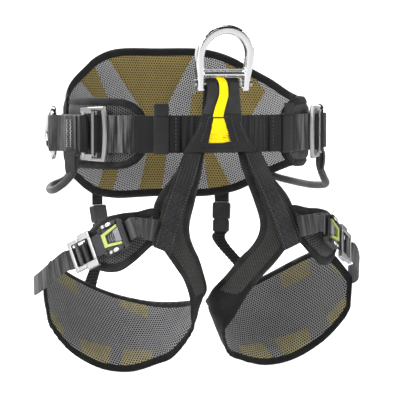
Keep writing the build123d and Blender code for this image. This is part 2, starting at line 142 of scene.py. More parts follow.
class Band:
    """Strip between two edges: s runs along it, t across it, h outwards from its outer face."""

    def __init__(self, pairs, steps=BAND_STEPS):
        rows = [(Vector(row[:3]), Vector(row[3:])) for row in smooth([a + b for a, b in pairs], steps)]
        middles = [(a + b) / 2 for a, b in rows]
        self.rows = []
        self.s = [0.0]
        for a, b in zip(middles, middles[1:]):
            self.s.append(self.s[-1] + (b - a).length)
        for i, (a, b) in enumerate(rows):
            along = middles[min(i + 1, len(rows) - 1)] - middles[max(i - 1, 0)]
            out = -(a - b).cross(along).normalized()
            self.rows.append((middles[i], (a - b).normalized(), out, (a - b).length / 2))
        self.length = self.s[-1]

    def at(self, s):
        i = min(max(bisect_right(self.s, s) - 1, 0), len(self.s) - 2)
        t = (s - self.s[i]) / (self.s[i + 1] - self.s[i])
        return tuple(a * (1 - t) + b * t for a, b in zip(self.rows[i], self.rows[i + 1]))

    def half(self, s):
        return self.at(s)[3]

    def place(self, s, t, h):
        middle, across, out, _ = self.at(s)
        return middle + across.normalized() * t + out.normalized() * h


def waist_place(offset):
    """Surface on the waist plan: u is the run, v is the height."""
    def place(u, v, h):
        point, _ = waist(u, offset + h)
        return point + Vector((0, 0, v))
    return place


def plan_band(points, height, steps):
    """Upright strip that follows plan points, its outer face away from the left of its path."""
    return Band([((x, y, -height / 2), (x, y, height / 2)) for x, y in points], steps)


# ---------------- mesh helpers
def make_mesh(name, points, faces, hand=1, slots=None, point_uvs=None, corner_uvs=None):
    """Object from millimetre points; hand -1 mirrors it."""
    mesh = bpy.data.meshes.new(name)
    mesh.from_pydata([(p[0] * hand * MM, p[1] * MM, p[2] * MM) for p in points], [],
                     [face[::hand] for face in faces])
    if corner_uvs is None:
        corner_uvs = [[point_uvs[i] for i in face] for face in faces]
    layer = mesh.uv_layers.new(name="weave")
    layer.data.foreach_set("uv", [c for corners in corner_uvs for pair in corners[::hand] for c in pair])
    if slots:
        mesh.polygons.foreach_set("material_index", slots)
    mesh.polygons.foreach_set("use_smooth", [True] * len(faces))
    work = bmesh.new()
    work.from_mesh(mesh)
    bmesh.ops.recalc_face_normals(work, faces=work.faces)
    work.to_mesh(mesh)
    work.free()
    mesh.update()
    obj = bpy.data.objects.new(name, mesh)
    bpy.context.collection.objects.link(obj)
    return obj


def grid_mesh(name, rows, hand=1, loop=False):
    """Closed tube of section rows; u is the length along, v the way round, in millimetres."""
    count = len(rows[0])
    points = [p for row in rows for p in row]
    run = [0.0]
    for a, b in zip(rows, rows[1:] + (rows[:1] if loop else [])):
        run.append(run[-1] + sum((Vector(q) - Vector(p)).length for p, q in zip(a, b)) / count)
    round_way = [0.0]
    for a, b in zip(rows[0], rows[0][1:] + rows[0][:1]):
        round_way.append(round_way[-1] + (Vector(b) - Vector(a)).length)
    faces, uvs = [], []
    spans = len(rows) if loop else len(rows) - 1
    for i in range(spans):
        j = (i + 1) % len(rows)
        for k in range(count):
            m = (k + 1) % count
            faces.append((i * count + k, i * count + m, j * count + m, j * count + k))
            uvs.append(((run[i] * MM, round_way[k] * MM), (run[i] * MM, round_way[k + 1] * MM),
                        (run[i + 1] * MM, round_way[k + 1] * MM), (run[i + 1] * MM, round_way[k] * MM)))
    if not loop:
        for i, order in ((0, range(count - 1, -1, -1)), (len(rows) - 1, range(count))):
            faces.append(tuple(i * count + k for k in order))
            uvs.append(tuple((run[i] * MM, round_way[k] * MM) for k in order))
    return make_mesh(name, points, faces, hand, corner_uvs=uvs)


def strap(name, band, thickness, spacing=2.0, start=0.0, hand=1, dents=(), ribs=None, ripple=0.0):
    """Webbing on a band, with rolled selvedges.

    Dents are stitched lines along it, ribs are (pitch, depth) across it, and a ripple is its height.
    """
    selvedge, shoulder, turned_down = 0.9, 2.2, 0.22
    count = max(2, ceil((band.length - start) / spacing))
    rows = []
    for i in range(count + 1):
        s = start + (band.length - start) * i / count
        half = band.half(s)
        inner = max(2, int(half * 2 // 6))
        lanes = [-half + selvedge, -half + shoulder]
        lanes += [-half + shoulder + (2 * half - 2 * shoulder) * k / inner for k in range(1, inner)]
        lanes += [half - shoulder, half - selvedge]
        swell = ripple * sin(s * 0.9) * sin(s * 0.23)
        if ribs:
            pitch, depth = ribs
            swell += depth * (0.5 + 0.5 * cos(2 * pi * s / pitch)) - depth
        tops, bottoms = [], []
        for t in lanes:
            dent = sum(0.35 * max(0.0, 1 - abs(t - line) / 1.6) for line in dents)
            edge = turned_down if abs(t) > half - 1.5 else 0.0
            tops.append(band.place(s, t, swell - dent - edge))
            bottoms.append(band.place(s, t, swell - thickness + edge))
        left, right = (band.place(s, t, swell - thickness / 2) for t in (-half, half))
        rows.append([left] + tops + [right] + bottoms[::-1])
    return grid_mesh(name, rows, hand)


def tube(name, path, section, hand=1, loop=False, up=(0, 0, 1)):
    """Section polygon swept along path points; section x lies across `up`, y along it."""
    path = [Vector(p) for p in path]
    rows = []
    side = None
    for i, p in enumerate(path):
        if loop:
            along = (path[(i + 1) % len(path)] - path[i - 1]).normalized()
        else:
            along = (path[min(i + 1, len(path) - 1)] - path[max(i - 1, 0)]).normalized()
        if side is None:
            side = along.cross(Vector(up)).normalized()
        else:
            side = (side - along * side.dot(along)).normalized()
        lift = side.cross(along)
        rows.append([p + side * x + lift * y for x, y in section])
    return grid_mesh(name, rows, hand, loop)


def disc_section(radius, sides=16):
    return [(radius * cos(2 * pi * k / sides), radius * sin(2 * pi * k / sides)) for k in range(sides)]


def rounded_section(width, height, corner, per_corner=4):
    points = []
    for quarter, (sx, sy) in enumerate(((1, 1), (-1, 1), (-1, -1), (1, -1))):
        for k in range(per_corner + 1):
            turn = pi / 2 * (quarter + k / per_corner)
            points.append((sx * (width / 2 - corner) + corner * cos(turn),
                           sy * (height / 2 - corner) + corner * sin(turn)))
    return points


def resample(points, spacing, closed=True):
    chain = points + points[:1] if closed else points
    run = [0.0]
    for a, b in zip(chain, chain[1:]):
        run.append(run[-1] + hypot(b[0] - a[0], b[1] - a[1]))
    count = max(3, round(run[-1] / spacing))
    result = []
    for k in range(count if closed else count + 1):
        s = run[-1] * k / count
        i = min(max(bisect_right(run, s) - 1, 0), len(run) - 2)
        t = (s - run[i]) / max(run[i + 1] - run[i], 1e-9)
        result.append((chain[i][0] + (chain[i + 1][0] - chain[i][0]) * t,
                       chain[i][1] + (chain[i + 1][1] - chain[i][1]) * t))
    return result


def distances(points, lines):
    """Distance of each point to the nearest of the open polylines."""
    best = np.full(len(points), 1e9)
    for line in lines:
        a = np.array(line[:-1])[None]
        b = np.array(line[1:])[None]
        p = points[:, None]
        ab = b - a
        t = np.clip(((p - a) * ab).sum(-1) / np.maximum((ab * ab).sum(-1), 1e-9), 0, 1)
        gap = p - a - ab * t[..., None]
        best = np.minimum(best, np.sqrt((gap * gap).sum(-1)).min(1))
    return best


def inside(points, polygon):
    """Which points lie in the polygon."""
    x, y = points[:, 0], points[:, 1]
    hit = np.zeros(len(points), bool)
    for (x1, y1), (x2, y2) in zip(polygon, polygon[1:] + polygon[:1]):
        cross = (y1 > y) != (y2 > y)
        slope = (x2 - x1) / (y2 - y1) if y2 != y1 else 0.0
        hit ^= cross & (x < (y - y1) * slope + x1)
    return hit


RIM, OUTER, INNER, BORDER, FIRST_PATCH = range(5)


def panel(name, outline, place, thickness, rim, spacing=4.0, rim_thickness=4.6, puff=14.0, patches=(),
          seams=(), seam_depth=0.45, border=0.0, hand=1, ripple=0.0, taper=0.0):
    """Sewn pad: a bound rim, a groove beside it and a filled field that is pulled in at its seams.

    The border lies inside the rim, and the patches on the inner field have the slots from FIRST_PATCH up.
    A taper thins the pad towards its start, close under its outer face.
    """
    edge = resample(outline, spacing * 0.8)
    area = sum(a[0] * b[1] - b[0] * a[1] for a, b in zip(edge, edge[1:] + edge[:1]))
    turn = copysign(1, area)
    closed_edge = edge + edge[:1]
    lines = [edge]
    for depth in [rim] + ([border] if border else []):
        inset = []
        for i, (x, y) in enumerate(edge):
            dx = edge[(i + 1) % len(edge)][0] - edge[i - 1][0]
            dy = edge[(i + 1) % len(edge)][1] - edge[i - 1][1]
            size = hypot(dx, dy)
            inset.append((x - turn * dy / size * depth, y + turn * dx / size * depth))
        keep = distances(np.array(inset), [closed_edge]) > depth * 0.97
        lines.append([p for p, ok in zip(inset, keep) if ok])
    for polygon in patches:
        lines.append(resample(polygon, spacing))
    open_lines = [resample(list(line), spacing, closed=False) for line in seams]
    sewn = [line + line[:1] for line in lines[2:]] + open_lines
    box = np.array(edge)
    low, high = box.min(0), box.max(0)
    row_pitch = spacing * 0.87
    cells = np.array([(low[0] + (col + 0.5 * (row % 2)) * spacing, low[1] + row * row_pitch)
                      for row in range(int((high[1] - low[1]) / row_pitch) + 2)
                      for col in range(int((high[0] - low[0]) / spacing) + 2)])
    every = [line + line[:1] for line in lines] + open_lines
    cells = cells[inside(cells, edge) & (distances(cells, every) > spacing * 0.45)]
    verts, links = [], []
    for line in lines + open_lines:
        first = len(verts)
        verts += line
        closed = line in lines
        links += [(first + k, first + (k + 1) % len(line)) for k in range(len(line) - (0 if closed else 1))]
    verts += [tuple(c) for c in cells]
    flat, _, triangles, *_ = geometry.delaunay_2d_cdt([Vector(v) for v in verts], links, [], 0, 1e-4)
    flat = np.array([tuple(v) for v in flat])
    middle = np.array([flat[list(t)].mean(0) for t in triangles])
    wanted = inside(middle, edge)
    triangles = [tuple(t) for t, ok in zip(triangles, wanted) if ok]
    middle = middle[wanted]
    depth = distances(flat, [closed_edge])
    sew = distances(flat, sewn) if sewn else np.full(len(flat), 99.0)
    middle_depth = distances(middle, [closed_edge])
    on_edge = depth < 1e-3
    half_rim, half_full = rim_thickness / 2, thickness / 2
    swell = np.interp(depth, (0, 0.7, 2.0, rim - 0.8, rim + 0.2), (0.0, 0.62, 1.0, 1.0, 0.8)) * half_rim
    rise = np.clip((depth - rim) / puff, 0, 1)
    rise = np.sqrt(np.clip(1 - (1 - rise) ** 2, 0, 1))
    swell = swell + (half_full - half_rim * 0.8) * rise
    swell *= 1 - seam_depth * np.exp(-(sew / 2.6) ** 2) * (depth > rim + 1)
    if ripple:
        swell *= 1 + ripple * np.sin(flat[:, 0] * 0.21 + 1.3) * np.sin(flat[:, 1] * 0.17 + 0.4) * rise
    points, uvs, index = [], [], {}
    for face_side in (1, -1):
        for i, (u, v) in enumerate(flat):
            if face_side == -1 and on_edge[i]:
                index[-1, i] = index[1, i]
                continue
            share = 0.25 + 0.75 * step(u, 0, taper) if taper else 1.0
            index[face_side, i] = len(points)
            points.append(place(u, v, share * (face_side * swell[i] - half_full)))
            uvs.append((u * MM, v * MM))
    member = [inside(middle, list(polygon)) for polygon in patches]
    faces, slots = [], []
    for face_side in (1, -1):
        for number, corners in enumerate(triangles):
            order = corners[::face_side]
            faces.append(tuple(index[face_side, i] for i in order))
            if middle_depth[number] < rim:
                slots.append(RIM)
            elif border and middle_depth[number] < border:
                slots.append(BORDER)
            elif face_side == 1:
                slots.append(OUTER)
            else:
                found = [k for k in range(len(patches)) if member[k][number]]
                slots.append(FIRST_PATCH + found[0] if found else INNER)
    used = sorted({i for face in faces for i in face})
    lookup = {old: new for new, old in enumerate(used)}
    return make_mesh(name, [points[i] for i in used], [tuple(lookup[i] for i in face) for face in faces],
                     hand, slots, point_uvs=[uvs[i] for i in used])


def band_outline(band, start, end):
    """Outline of a band in its own s and t."""
    count = ceil((end - start) / 4)
    stops = [start + (end - start) * k / count for k in range(count + 1)]
    return [(s, band.half(s)) for s in stops] + [(s, -band.half(s)) for s in reversed(stops)]


def hold(obj, body):
    """Ride on one body; a piece given two bodies as (body, body, start, end) stays in place, unattached and
    unbent.
    """
    if isinstance(body, tuple):
        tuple(body[2])
        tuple(body[3])
        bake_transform(obj)
    else:
        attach(obj, body)


def sewn(obj, paints, body, slot, *covers, fill=None):
    """Materials, body and CAD nodes of a piece; slot is not used, and fill is not used."""
    for paint in paints if isinstance(paints, tuple) else (paints,):
        obj.data.materials.append(paint)
    hold(obj, body)
    if covers:
        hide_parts(*covers)


def mirrored(point, hand):
    return point[0] * hand, point[1], point[2]


def stitches(name, line, place, body, material, length=3.0, gap=1.6, radius=0.34, lift=0.1, hand=1, zigzag=0.0):
    """Row of thread stitches along a line in a surface's own coordinates."""
    run = resample(list(line), length + gap, closed=False)
    points, faces = [], []
    for k, (a, b) in enumerate(zip(run, run[1:])):
        share = length / (length + gap)
        du, dv = (b[0] - a[0]) * share, (b[1] - a[1]) * share
        shift = zigzag * (1 if k % 2 else -1)
        size = max(hypot(du, dv), 1e-6)
        nu, nv = -dv / size, du / size
        start = place(a[0] + nu * shift, a[1] + nv * shift, 0)
        stop = place(a[0] + du - nu * shift, a[1] + dv - nv * shift, 0)
        out = (place(a[0], a[1], 1) - place(a[0], a[1], 0)).normalized()
        along = (stop - start).normalized()
        side = along.cross(out)
        first = len(points)
        for t, swell in ((0.0, 0.35), (0.22, 1.0), (0.78, 1.0), (1.0, 0.35)):
            centre = start.lerp(stop, t) + out * (lift - (0.0 if 0 < t < 1 else radius * 0.8))
            for q in range(6):
                turn = 2 * pi * q / 6
                points.append(centre + side * (radius * swell * cos(turn)) + out * (radius * swell * sin(turn)))
        for ring in range(first, first + 18, 6):
            for q in range(6):
                p = (q + 1) % 6
                faces.append((ring + q, ring + p, ring + 6 + p, ring + 6 + q))
        faces.append(tuple(first + q for q in range(5, -1, -1)))
        faces.append(tuple(first + 18 + q for q in range(6)))
    obj = make_mesh(name, points, faces, hand, point_uvs=[(p[0] * MM, p[2] * MM) for p in points])
    sewn(obj, material, body, "belt_webbing")


def prism(points, place, low, high):
    """Closed block over an outline, between two heights of a surface."""
    count = len(points)
    corners = [place(u, v, h) for h in (low, high) for u, v in points]
    faces = [tuple(range(count - 1, -1, -1)), tuple(range(count, 2 * count))]
    faces += [(k, (k + 1) % count, count + (k + 1) % count, count + k) for k in range(count)]
    return make_mesh("block", corners, faces, point_uvs=[(c[0] * MM, c[2] * MM) for c in corners])


def box(u1, u2, v1, v2, place, low, high):
    return prism([(u1, v1), (u2, v1), (u2, v2), (u1, v2)], place, low, high)


def cast(name, parts, hands=((0, 1),), voxel=0.6, rounding=4):
    """Fuse closed parts into one rounded casting, and make it once for each side."""
    work = bmesh.new()
    for part in parts:
        work.from_mesh(part.data)
        bpy.data.objects.remove(part)
    fused = bpy.data.objects.new("fused", bpy.data.meshes.new("fused"))
    work.to_mesh(fused.data)
    work.free()
    bpy.context.collection.objects.link(fused)
    remesh = fused.modifiers.new("fuse", "REMESH")
    remesh.mode = "VOXEL"
    remesh.voxel_size = voxel * MM
    relax = fused.modifiers.new("round", "SMOOTH")
    relax.factor = 0.5
    relax.iterations = rounding
    final = fused.evaluated_get(bpy.context.evaluated_depsgraph_get()).to_mesh()
    points = [tuple(v.co * 1000) for v in final.vertices]
    faces = [tuple(f.vertices) for f in final.polygons]
    uvs = [(p[0] * MM, p[2] * MM) for p in points]
    bpy.data.objects.remove(fused)
    return [make_mesh(name + (f"_{side}" if side else ""), points, faces, hand, point_uvs=uvs)
            for side, hand in hands]


# ---------------- materials
class Paint:
    """Small builder for procedural materials."""

    def __init__(self, name, roughness, metallic=0.0, sheen=0.0, coat=0.0, specular=0.5):
        self.material = bpy.data.materials.new(name)
        self.material.use_nodes = True
        self.tree = self.material.node_tree
        self.tree.nodes.clear()
        output = self.tree.nodes.new("ShaderNodeOutputMaterial")
        self.shader = self.tree.nodes.new("ShaderNodeBsdfPrincipled")
        self.tree.links.new(self.shader.outputs[0], output.inputs[0])
        self.fixed(Roughness=roughness, Metallic=metallic, Sheen_Weight=sheen, Sheen_Roughness=0.45,
                   Coat_Weight=coat, Coat_Roughness=0.15, Specular_IOR_Level=specular)

    def fixed(self, **values):
        """Uniform values, set on the shader's own sockets."""
        for key, value in values.items():
            self.shader.inputs[key.replace("_", " ")].default_value = value

    def add(self, kind, inputs=None, **props):
        node = self.tree.nodes.new("ShaderNode" + kind)
        for key, value in props.items():
            setattr(node, key, value)
        for key, value in (inputs or {}).items():
            self.put(node.inputs[key], value)
        return node

    def put(self, socket, value):
        if isinstance(value, bpy.types.NodeSocket):
            self.tree.links.new(value, socket)
        elif isinstance(value, (tuple, list)) and len(value) == 3 and socket.type == "RGBA":
            socket.default_value = (*value, 1)
        else:
            socket.default_value = value

    def calc(self, operation, a, b=0.0, c=0.0):
        return self.add("Math", {0: a, 1: b, 2: c}, operation=operation).outputs[0]

    def weave(self):
        """u along and v across a sewn piece, in millimetres."""
        split = self.add("SeparateXYZ", {0: self.add("UVMap", uv_map="weave").outputs[0]})
        return self.calc("MULTIPLY", split.outputs[0], 1000), self.calc("MULTIPLY", split.outputs[1], 1000)

    def place(self, scale=(1, 1, 1)):
        where = self.add("TexCoord").outputs["Object"]
        return self.add("Mapping", {"Vector": where, "Scale": scale}).outputs[0]

    def noise(self, scale, detail, vector=None):
        vector = self.place() if vector is None else vector
        return self.add("TexNoise", {"Vector": vector, "Scale": scale, "Detail": detail,
                                     "Roughness": 0.55}).outputs[0]

    def wave(self, value, pitch):
        """0 to 1 cosine of a length in millimetres."""
        turn = self.calc("MULTIPLY", value, 2 * pi / pitch)
        return self.calc("MULTIPLY_ADD", self.calc("COSINE", turn), 0.5, 0.5)

    def step(self, value, low, high, to=(0.0, 1.0)):
        return self.add("MapRange", {"Value": value, "From Min": low, "From Max": high, "To Min": to[0],
                                     "To Max": to[1]}, interpolation_type="SMOOTHSTEP").outputs[0]

    def mix(self, share, a, b):
        node = self.add("Mix", data_type="RGBA")
        for socket, value in zip([s for s in node.inputs if s.enabled], (share, a, b)):
            self.put(socket, value)
        return [s for s in node.outputs if s.enabled][0]

    def done(self, colour, roughness=None, height=None, distance=0.3):
        """Colour and height; distance is the relief in millimetres."""
        self.put(self.shader.inputs["Base Color"], colour)
        if roughness is not None:
            self.put(self.shader.inputs["Roughness"], roughness)
        if height is not None:
            bump = self.add("Bump", {"Height": height, "Distance": distance * MM, "Strength": 1.0})
            self.tree.links.new(bump.outputs[0], self.shader.inputs["Normal"])
        return self.material


def webbing_paint(name, colour, rib, lane, light=1.9, worn=0.25, highlight_streak=None, highlight_run=(-1000, 1000)):
    """Woven webbing: ribs across it, columns of warp along it, a slow change of tone, and painted highlight
    streaks across it within a run along it.
    """
    paint = Paint(name, roughness=0.66, sheen=0.05, specular=0.28)
    u, v = paint.weave()
    lanes = paint.wave(v, lane)
    shift = paint.calc("MULTIPLY", paint.calc("ROUND", paint.calc("DIVIDE", v, lane)), pi)
    ribs = paint.calc("COSINE", paint.calc("MULTIPLY_ADD", u, 2 * pi / rib, shift))
    ribs = paint.calc("MULTIPLY_ADD", ribs, 0.5, 0.5)
    height = paint.calc("MULTIPLY", paint.calc("MULTIPLY_ADD", lanes, -0.6, 1.0), paint.calc("ADD", ribs, 0.35))
    fibre = paint.noise(2600, 2)
    tone = paint.noise(38, 3)
    share = paint.calc("MULTIPLY", paint.step(height, 0.15, 1.3), 0.7)
    share = paint.calc("ADD", share, paint.calc("MULTIPLY", paint.step(tone, 0.35, 0.7), worn))
    bright = tuple(min(1.0, c * light + 0.003) for c in colour)
    final_colour = paint.mix(share, tuple(c * 0.3 for c in colour), bright)
    # Painted highlight: light streaks across the webbing, only between the two ends of the run along it.
    if highlight_streak:
        along = paint.add("CombineXYZ", {0: paint.calc("MULTIPLY", u, 0.25),
                                         1: paint.calc("MULTIPLY", v, 0.012)})
        highlight_streaks = paint.step(paint.noise(1.0, 4, along.outputs[0]), 0.38, 0.66)
        low, high = highlight_run
        highlight_span = paint.calc("MULTIPLY", paint.step(u, low - 4, low + 4),
                           paint.step(u, high - 4, high + 4, (1, 0)))
        final_colour = paint.mix(paint.calc("MULTIPLY", highlight_streaks, highlight_span), final_colour, highlight_streak)
    final = paint.calc("ADD", height, paint.calc("MULTIPLY", fibre, 0.35))
    return paint.done(final_colour, height=final, distance=0.22)


def mesh_paint(name, threads, hole, pitch=3.5, size=0.42, turn=0.2, fuzz=0.35):
    """Spacer mesh: knitted threads round a lattice of open cells."""
    paint = Paint(name, roughness=0.8, sheen=0.08, specular=0.2)
    u, v = paint.weave()
    waves = []
    for k in range(3):
        angle = turn + k * 2 * pi / 3
        along = paint.calc("ADD", paint.calc("MULTIPLY", u, cos(angle)), paint.calc("MULTIPLY", v, sin(angle)))
        waves.append(paint.wave(along, pitch * sin(pi / 3)))
    lattice = paint.calc("DIVIDE", paint.calc("ADD", paint.calc("ADD", waves[0], waves[1]), waves[2]), 3.0)
    knit = paint.noise(1500, 2)
    loose = paint.noise(90, 3)
    lattice = paint.calc("ADD", lattice, paint.calc("MULTIPLY_ADD", knit, 0.16, -0.08))
    lattice = paint.calc("ADD", lattice, paint.calc("MULTIPLY_ADD", loose, 0.2 * fuzz, -0.1 * fuzz))
    open_cell = paint.step(lattice, size, size + 0.14)
    strand = paint.mix(paint.step(paint.calc("ADD", knit, paint.calc("MULTIPLY", loose, 0.5)), 0.5, 1.0),
                       tuple(c * 0.62 for c in threads), threads)
    height = paint.calc("SUBTRACT", 1.0, open_cell)
    height = paint.calc("ADD", height, paint.calc("MULTIPLY", knit, 0.5))
    return paint.done(paint.mix(open_cell, strand, hole), height=height, distance=0.5)


def cloth_paint(name, colour, light=1.9, pitch=1.3, dark=0.4):
    """Smooth knitted binding or facing cloth."""
    paint = Paint(name, roughness=0.78, sheen=0.05, specular=0.22)
    u, v = paint.weave()
    falling = paint.wave(paint.calc("SUBTRACT", u, v), pitch)
    height = paint.calc("MULTIPLY", paint.wave(paint.calc("ADD", u, v), pitch), falling)
    tone = paint.calc("MULTIPLY", paint.step(paint.noise(60, 4), 0.3, 0.75), 0.5)
    share = paint.calc("ADD", paint.calc("MULTIPLY", height, 0.4), tone)
    paint.done(paint.mix(share, tuple(c * dark for c in colour), tuple(c * light for c in colour)),
               height=paint.calc("ADD", height, paint.noise(900, 2)), distance=0.15)
    return paint.material


def metal_paint(name, colour, roughness, grain, along=(1, 1, 1), scratches=0.12):
    """Worn metal: fine directional grain, faint scratches and duller handled patches."""
    paint = Paint(name, roughness=roughness, metallic=1.0)
    grain_noise = paint.noise(900, 3, paint.place(along))
    wear = paint.noise(55, 4)
    lines = paint.noise(420, 2, paint.place((1, 1, 14)))
    dull = paint.calc("MULTIPLY", paint.step(wear, 0.4, 0.75), grain)
    rough = paint.calc("ADD", paint.calc("MULTIPLY_ADD", grain_noise, grain, roughness - grain / 2), dull)
    shade = paint.calc("MULTIPLY", paint.step(lines, 0.62, 0.72), scratches)
    shade = paint.calc("ADD", shade, paint.calc("MULTIPLY", paint.step(wear, 0.45, 0.8), scratches))
    return paint.done(paint.mix(shade, colour, tuple(c * 0.55 for c in colour)), roughness=rough,
                      height=grain_noise, distance=0.05)


def plastic_paint(name, colour, roughness, worn=1.6, coat=0.0):
    """Moulded plastic: fine spark-eroded grain and lighter rubbed patches."""
    paint = Paint(name, roughness=roughness, coat=coat, specular=0.45)
    wear = paint.noise(70, 4)
    rough = paint.calc("MULTIPLY_ADD", wear, 0.25, roughness - 0.12)
    colour_out = paint.mix(paint.step(wear, 0.4, 0.8), colour, tuple(min(1, c * worn + 0.004) for c in colour))
    return paint.done(colour_out, roughness=rough, height=paint.noise(1400, 2), distance=0.04)


def knurl_paint(name, colour, pitch):
    """Knurled steel bar."""
    paint = Paint(name, roughness=0.35, metallic=1.0)
    u, v = paint.weave()
    a = paint.wave(paint.calc("ADD", u, v), pitch)
    b = paint.wave(paint.calc("SUBTRACT", u, v), pitch)
    height = paint.calc("MULTIPLY", a, b)
    return paint.done(paint.mix(height, tuple(c * 0.25 for c in colour), colour), height=height, distance=0.35)


BLACK = (0.0075, 0.0075, 0.008)
HOLE = (0.008, 0.008, 0.008)

pad_khaki = mesh_paint("pad_mesh_khaki", (0.38, 0.29, 0.10), (0.05, 0.037, 0.012), pitch=3.6, size=0.46,
                       turn=0.5, fuzz=0.8)
pad_grey = mesh_paint("pad_mesh_grey", (0.58, 0.58, 0.59), (0.010, 0.010, 0.010), pitch=3.2, size=0.40,
                      fuzz=1.4)
pad_open = mesh_paint("pad_mesh_open", (0.58, 0.58, 0.59), HOLE, pitch=4.0, turn=0.3)
leg_grey = mesh_paint("leg_mesh_grey", (0.42, 0.42, 0.425), HOLE, size=0.34, turn=0.45)
leg_khaki = mesh_paint("leg_mesh_khaki", (0.44, 0.40, 0.23), (0.02, 0.016, 0.009), turn=0.45)
hip_mesh = mesh_paint("hip_mesh", (0.12, 0.12, 0.125), (0.003, 0.003, 0.003), pitch=3.3, turn=0.1)
band_mesh = mesh_paint("band_mesh", (0.064, 0.065, 0.058), (0.004, 0.004, 0.004), pitch=2.6, size=0.46)
binding = cloth_paint("binding", BLACK)
border_cloth = cloth_paint("border_cloth", (0.018, 0.018, 0.019))
back_cloth = cloth_paint("back_cloth", (0.010, 0.010, 0.0105), pitch=1.4)
thread_grey = cloth_paint("thread_grey", (0.13, 0.13, 0.135), pitch=0.5)
thread_white = cloth_paint("thread_white", (0.50, 0.50, 0.51), pitch=0.5)
piping_paint = cloth_paint("piping", (0.040, 0.038, 0.024), pitch=0.7)
yellow = cloth_paint("yellow_glowing_cloth", (0.94, 0.74, 0.002), light=1.05, pitch=0.8, dark=0.9)
# Painted light: the yellow cloth glows by itself, brighter than the lamps alone make it.
yellow_glow_shader = next(node for node in yellow.node_tree.nodes if node.type == "BSDF_PRINCIPLED")
yellow_glow_shader.inputs["Emission Color"].default_value = (1.0, 0.82, 0.0, 1)
yellow_glow_shader.inputs["Emission Strength"].default_value = 0.24
# Painted highlight: the eye webbing is much lighter than the belt, for the light on the webbing folded round
# the buckle bar.
eye_highlight_paint = webbing_paint("belt_eye_highlight_webbing", (0.06, 0.06, 0.061), 1.2, 1.6, highlight_streak=(0.16, 0.16, 0.162))
# Painted highlight: the streak colours here and below are light streaks painted across the belt, tail and leg
# webbing.
belt_paint = webbing_paint("belt_webbing", (0.006, 0.006, 0.0065), 1.3, 1.6, highlight_streak=(0.03, 0.03, 0.031))
# Painted highlight: the tail's light streaks lie only where it curves towards the key light, with none nearer
# the buckle, where it lies in shade.
tail_paint = webbing_paint("tail_webbing", (0.006, 0.006, 0.0065), 1.3, 1.6, highlight_streak=(0.17, 0.17, 0.172),
                           highlight_run=(26, 62))
leg_paint = webbing_paint("leg_webbing", (0.024, 0.024, 0.025), 1.2, 1.9, highlight_streak=(0.10, 0.10, 0.102))
riser_paint = webbing_paint("riser_webbing", (0.024, 0.024, 0.0255), 1.7, 3.2)
bridge_paint = webbing_paint("bridge_webbing", (0.014, 0.014, 0.015), 1.3, 2.0)
satin_paint = webbing_paint("satin_webbing", (0.036, 0.037, 0.038), 0.9, 1.0)
keeper_paint = webbing_paint("keeper_webbing", (0.021, 0.021, 0.022), 1.2, 1.4)
elastic_paint = webbing_paint("elastic", (0.011, 0.011, 0.012), 2.0, 1.2)
gear_paint = webbing_paint("gear_sheath", (0.040, 0.040, 0.042), 2.2, 2.2, light=2.8, worn=0.4)
ring_paint = metal_paint("ring_alloy", (0.56, 0.56, 0.57), 0.15, 0.06, scratches=0.08)
side_ring_paint = metal_paint("side_ring_steel", (0.46, 0.46, 0.47), 0.12, 0.05, scratches=0.06)
buckle_paint = metal_paint("buckle_steel", (0.40, 0.40, 0.395), 0.34, 0.14, along=(1, 1, 8))
buckle_bar_paint = metal_paint("buckle_bar_steel", (0.30, 0.30, 0.30), 0.30, 0.12, along=(1, 1, 8))
leg_buckle_paint = metal_paint("leg_buckle_alloy", (0.36, 0.36, 0.365), 0.34, 0.12)
lever_paint = metal_paint("lever_alloy", (0.60, 0.61, 0.60), 0.26, 0.12)
tongue_paint = metal_paint("tongue_steel", (0.045, 0.045, 0.048), 0.40, 0.12)
screw_paint = metal_paint("screw_steel", (0.42, 0.42, 0.43), 0.28, 0.1)
grip_paint = knurl_paint("grip_steel", (0.34, 0.34, 0.34), 1.1)
thumb_paint = plastic_paint("thumb_grey", (0.22, 0.22, 0.24), 0.36, worn=1.35)
socket_paint = plastic_paint("socket_plastic", (0.009, 0.009, 0.0105), 0.40)
clip_paint = plastic_paint("clip_plastic", (0.011, 0.011, 0.012), 0.42)
lime_paint = plastic_paint("lime_trim", (0.46, 0.54, 0.13), 0.30, worn=1.05, coat=0.2)


# ---------------- pieces
def repaint(obj, old, new, low, high):
    """Change the slot of the faces between two places along a sewn piece."""
    weave = obj.data.uv_layers["weave"].data
    for face in obj.data.polygons:
        if face.material_index == old and low < weave[face.loop_start].uv.x / MM < high:
            face.material_index = new


def stations_outline(stations):
    """Outline of a pad from its stations of run, top and bottom."""
    rows = smooth(stations, 10)
    return [(u, top) for u, top, _ in rows] + [(u, low) for u, _, low in reversed(rows)]


# Back pad: bound edge, khaki and grey mesh inside, plain cloth outside
BACK_PAD = [(0, 104, -88), (50, 104, -89), (78, 100, -87), (104, 91, -82), (124, 80, -74),
            (153, 66, -60), (185, 50, -49), (206, 44, -45)]
back_stations = [(-run, top, low) for run, top, low in BACK_PAD[:0:-1]] + BACK_PAD
BACK_PATCHES = [
    [(-84, 97), (50, 97), (5, 18), (12, -30), (4, -82), (-30, -82), (-16, -30), (-19, 18)],
    [(-146, 67), (-108, 86), (-80, 38), (-62, -52), (-72, -80), (-100, -76), (-86, -40), (-104, 38)],
    [(47, 44), (66, 52), (60, 16), (76, -30), (102, -77), (70, -82), (62, -30), (43, 14)],
    [(84, 95), (114, 85), (150, 48), (128, 16), (104, 16), (112, 56)]]
back_pad = panel("back_pad_cover", stations_outline(back_stations), waist_place(0), pad_thickness, spacing=4.2,
                 rim=10.0, patches=BACK_PATCHES, seam_depth=0.35, ripple=0.05)
sewn(back_pad, (binding, back_cloth, pad_grey, border_cloth, *[pad_khaki] * 4), "root", "pad_mesh", "back_pad",
     fill=0.7)

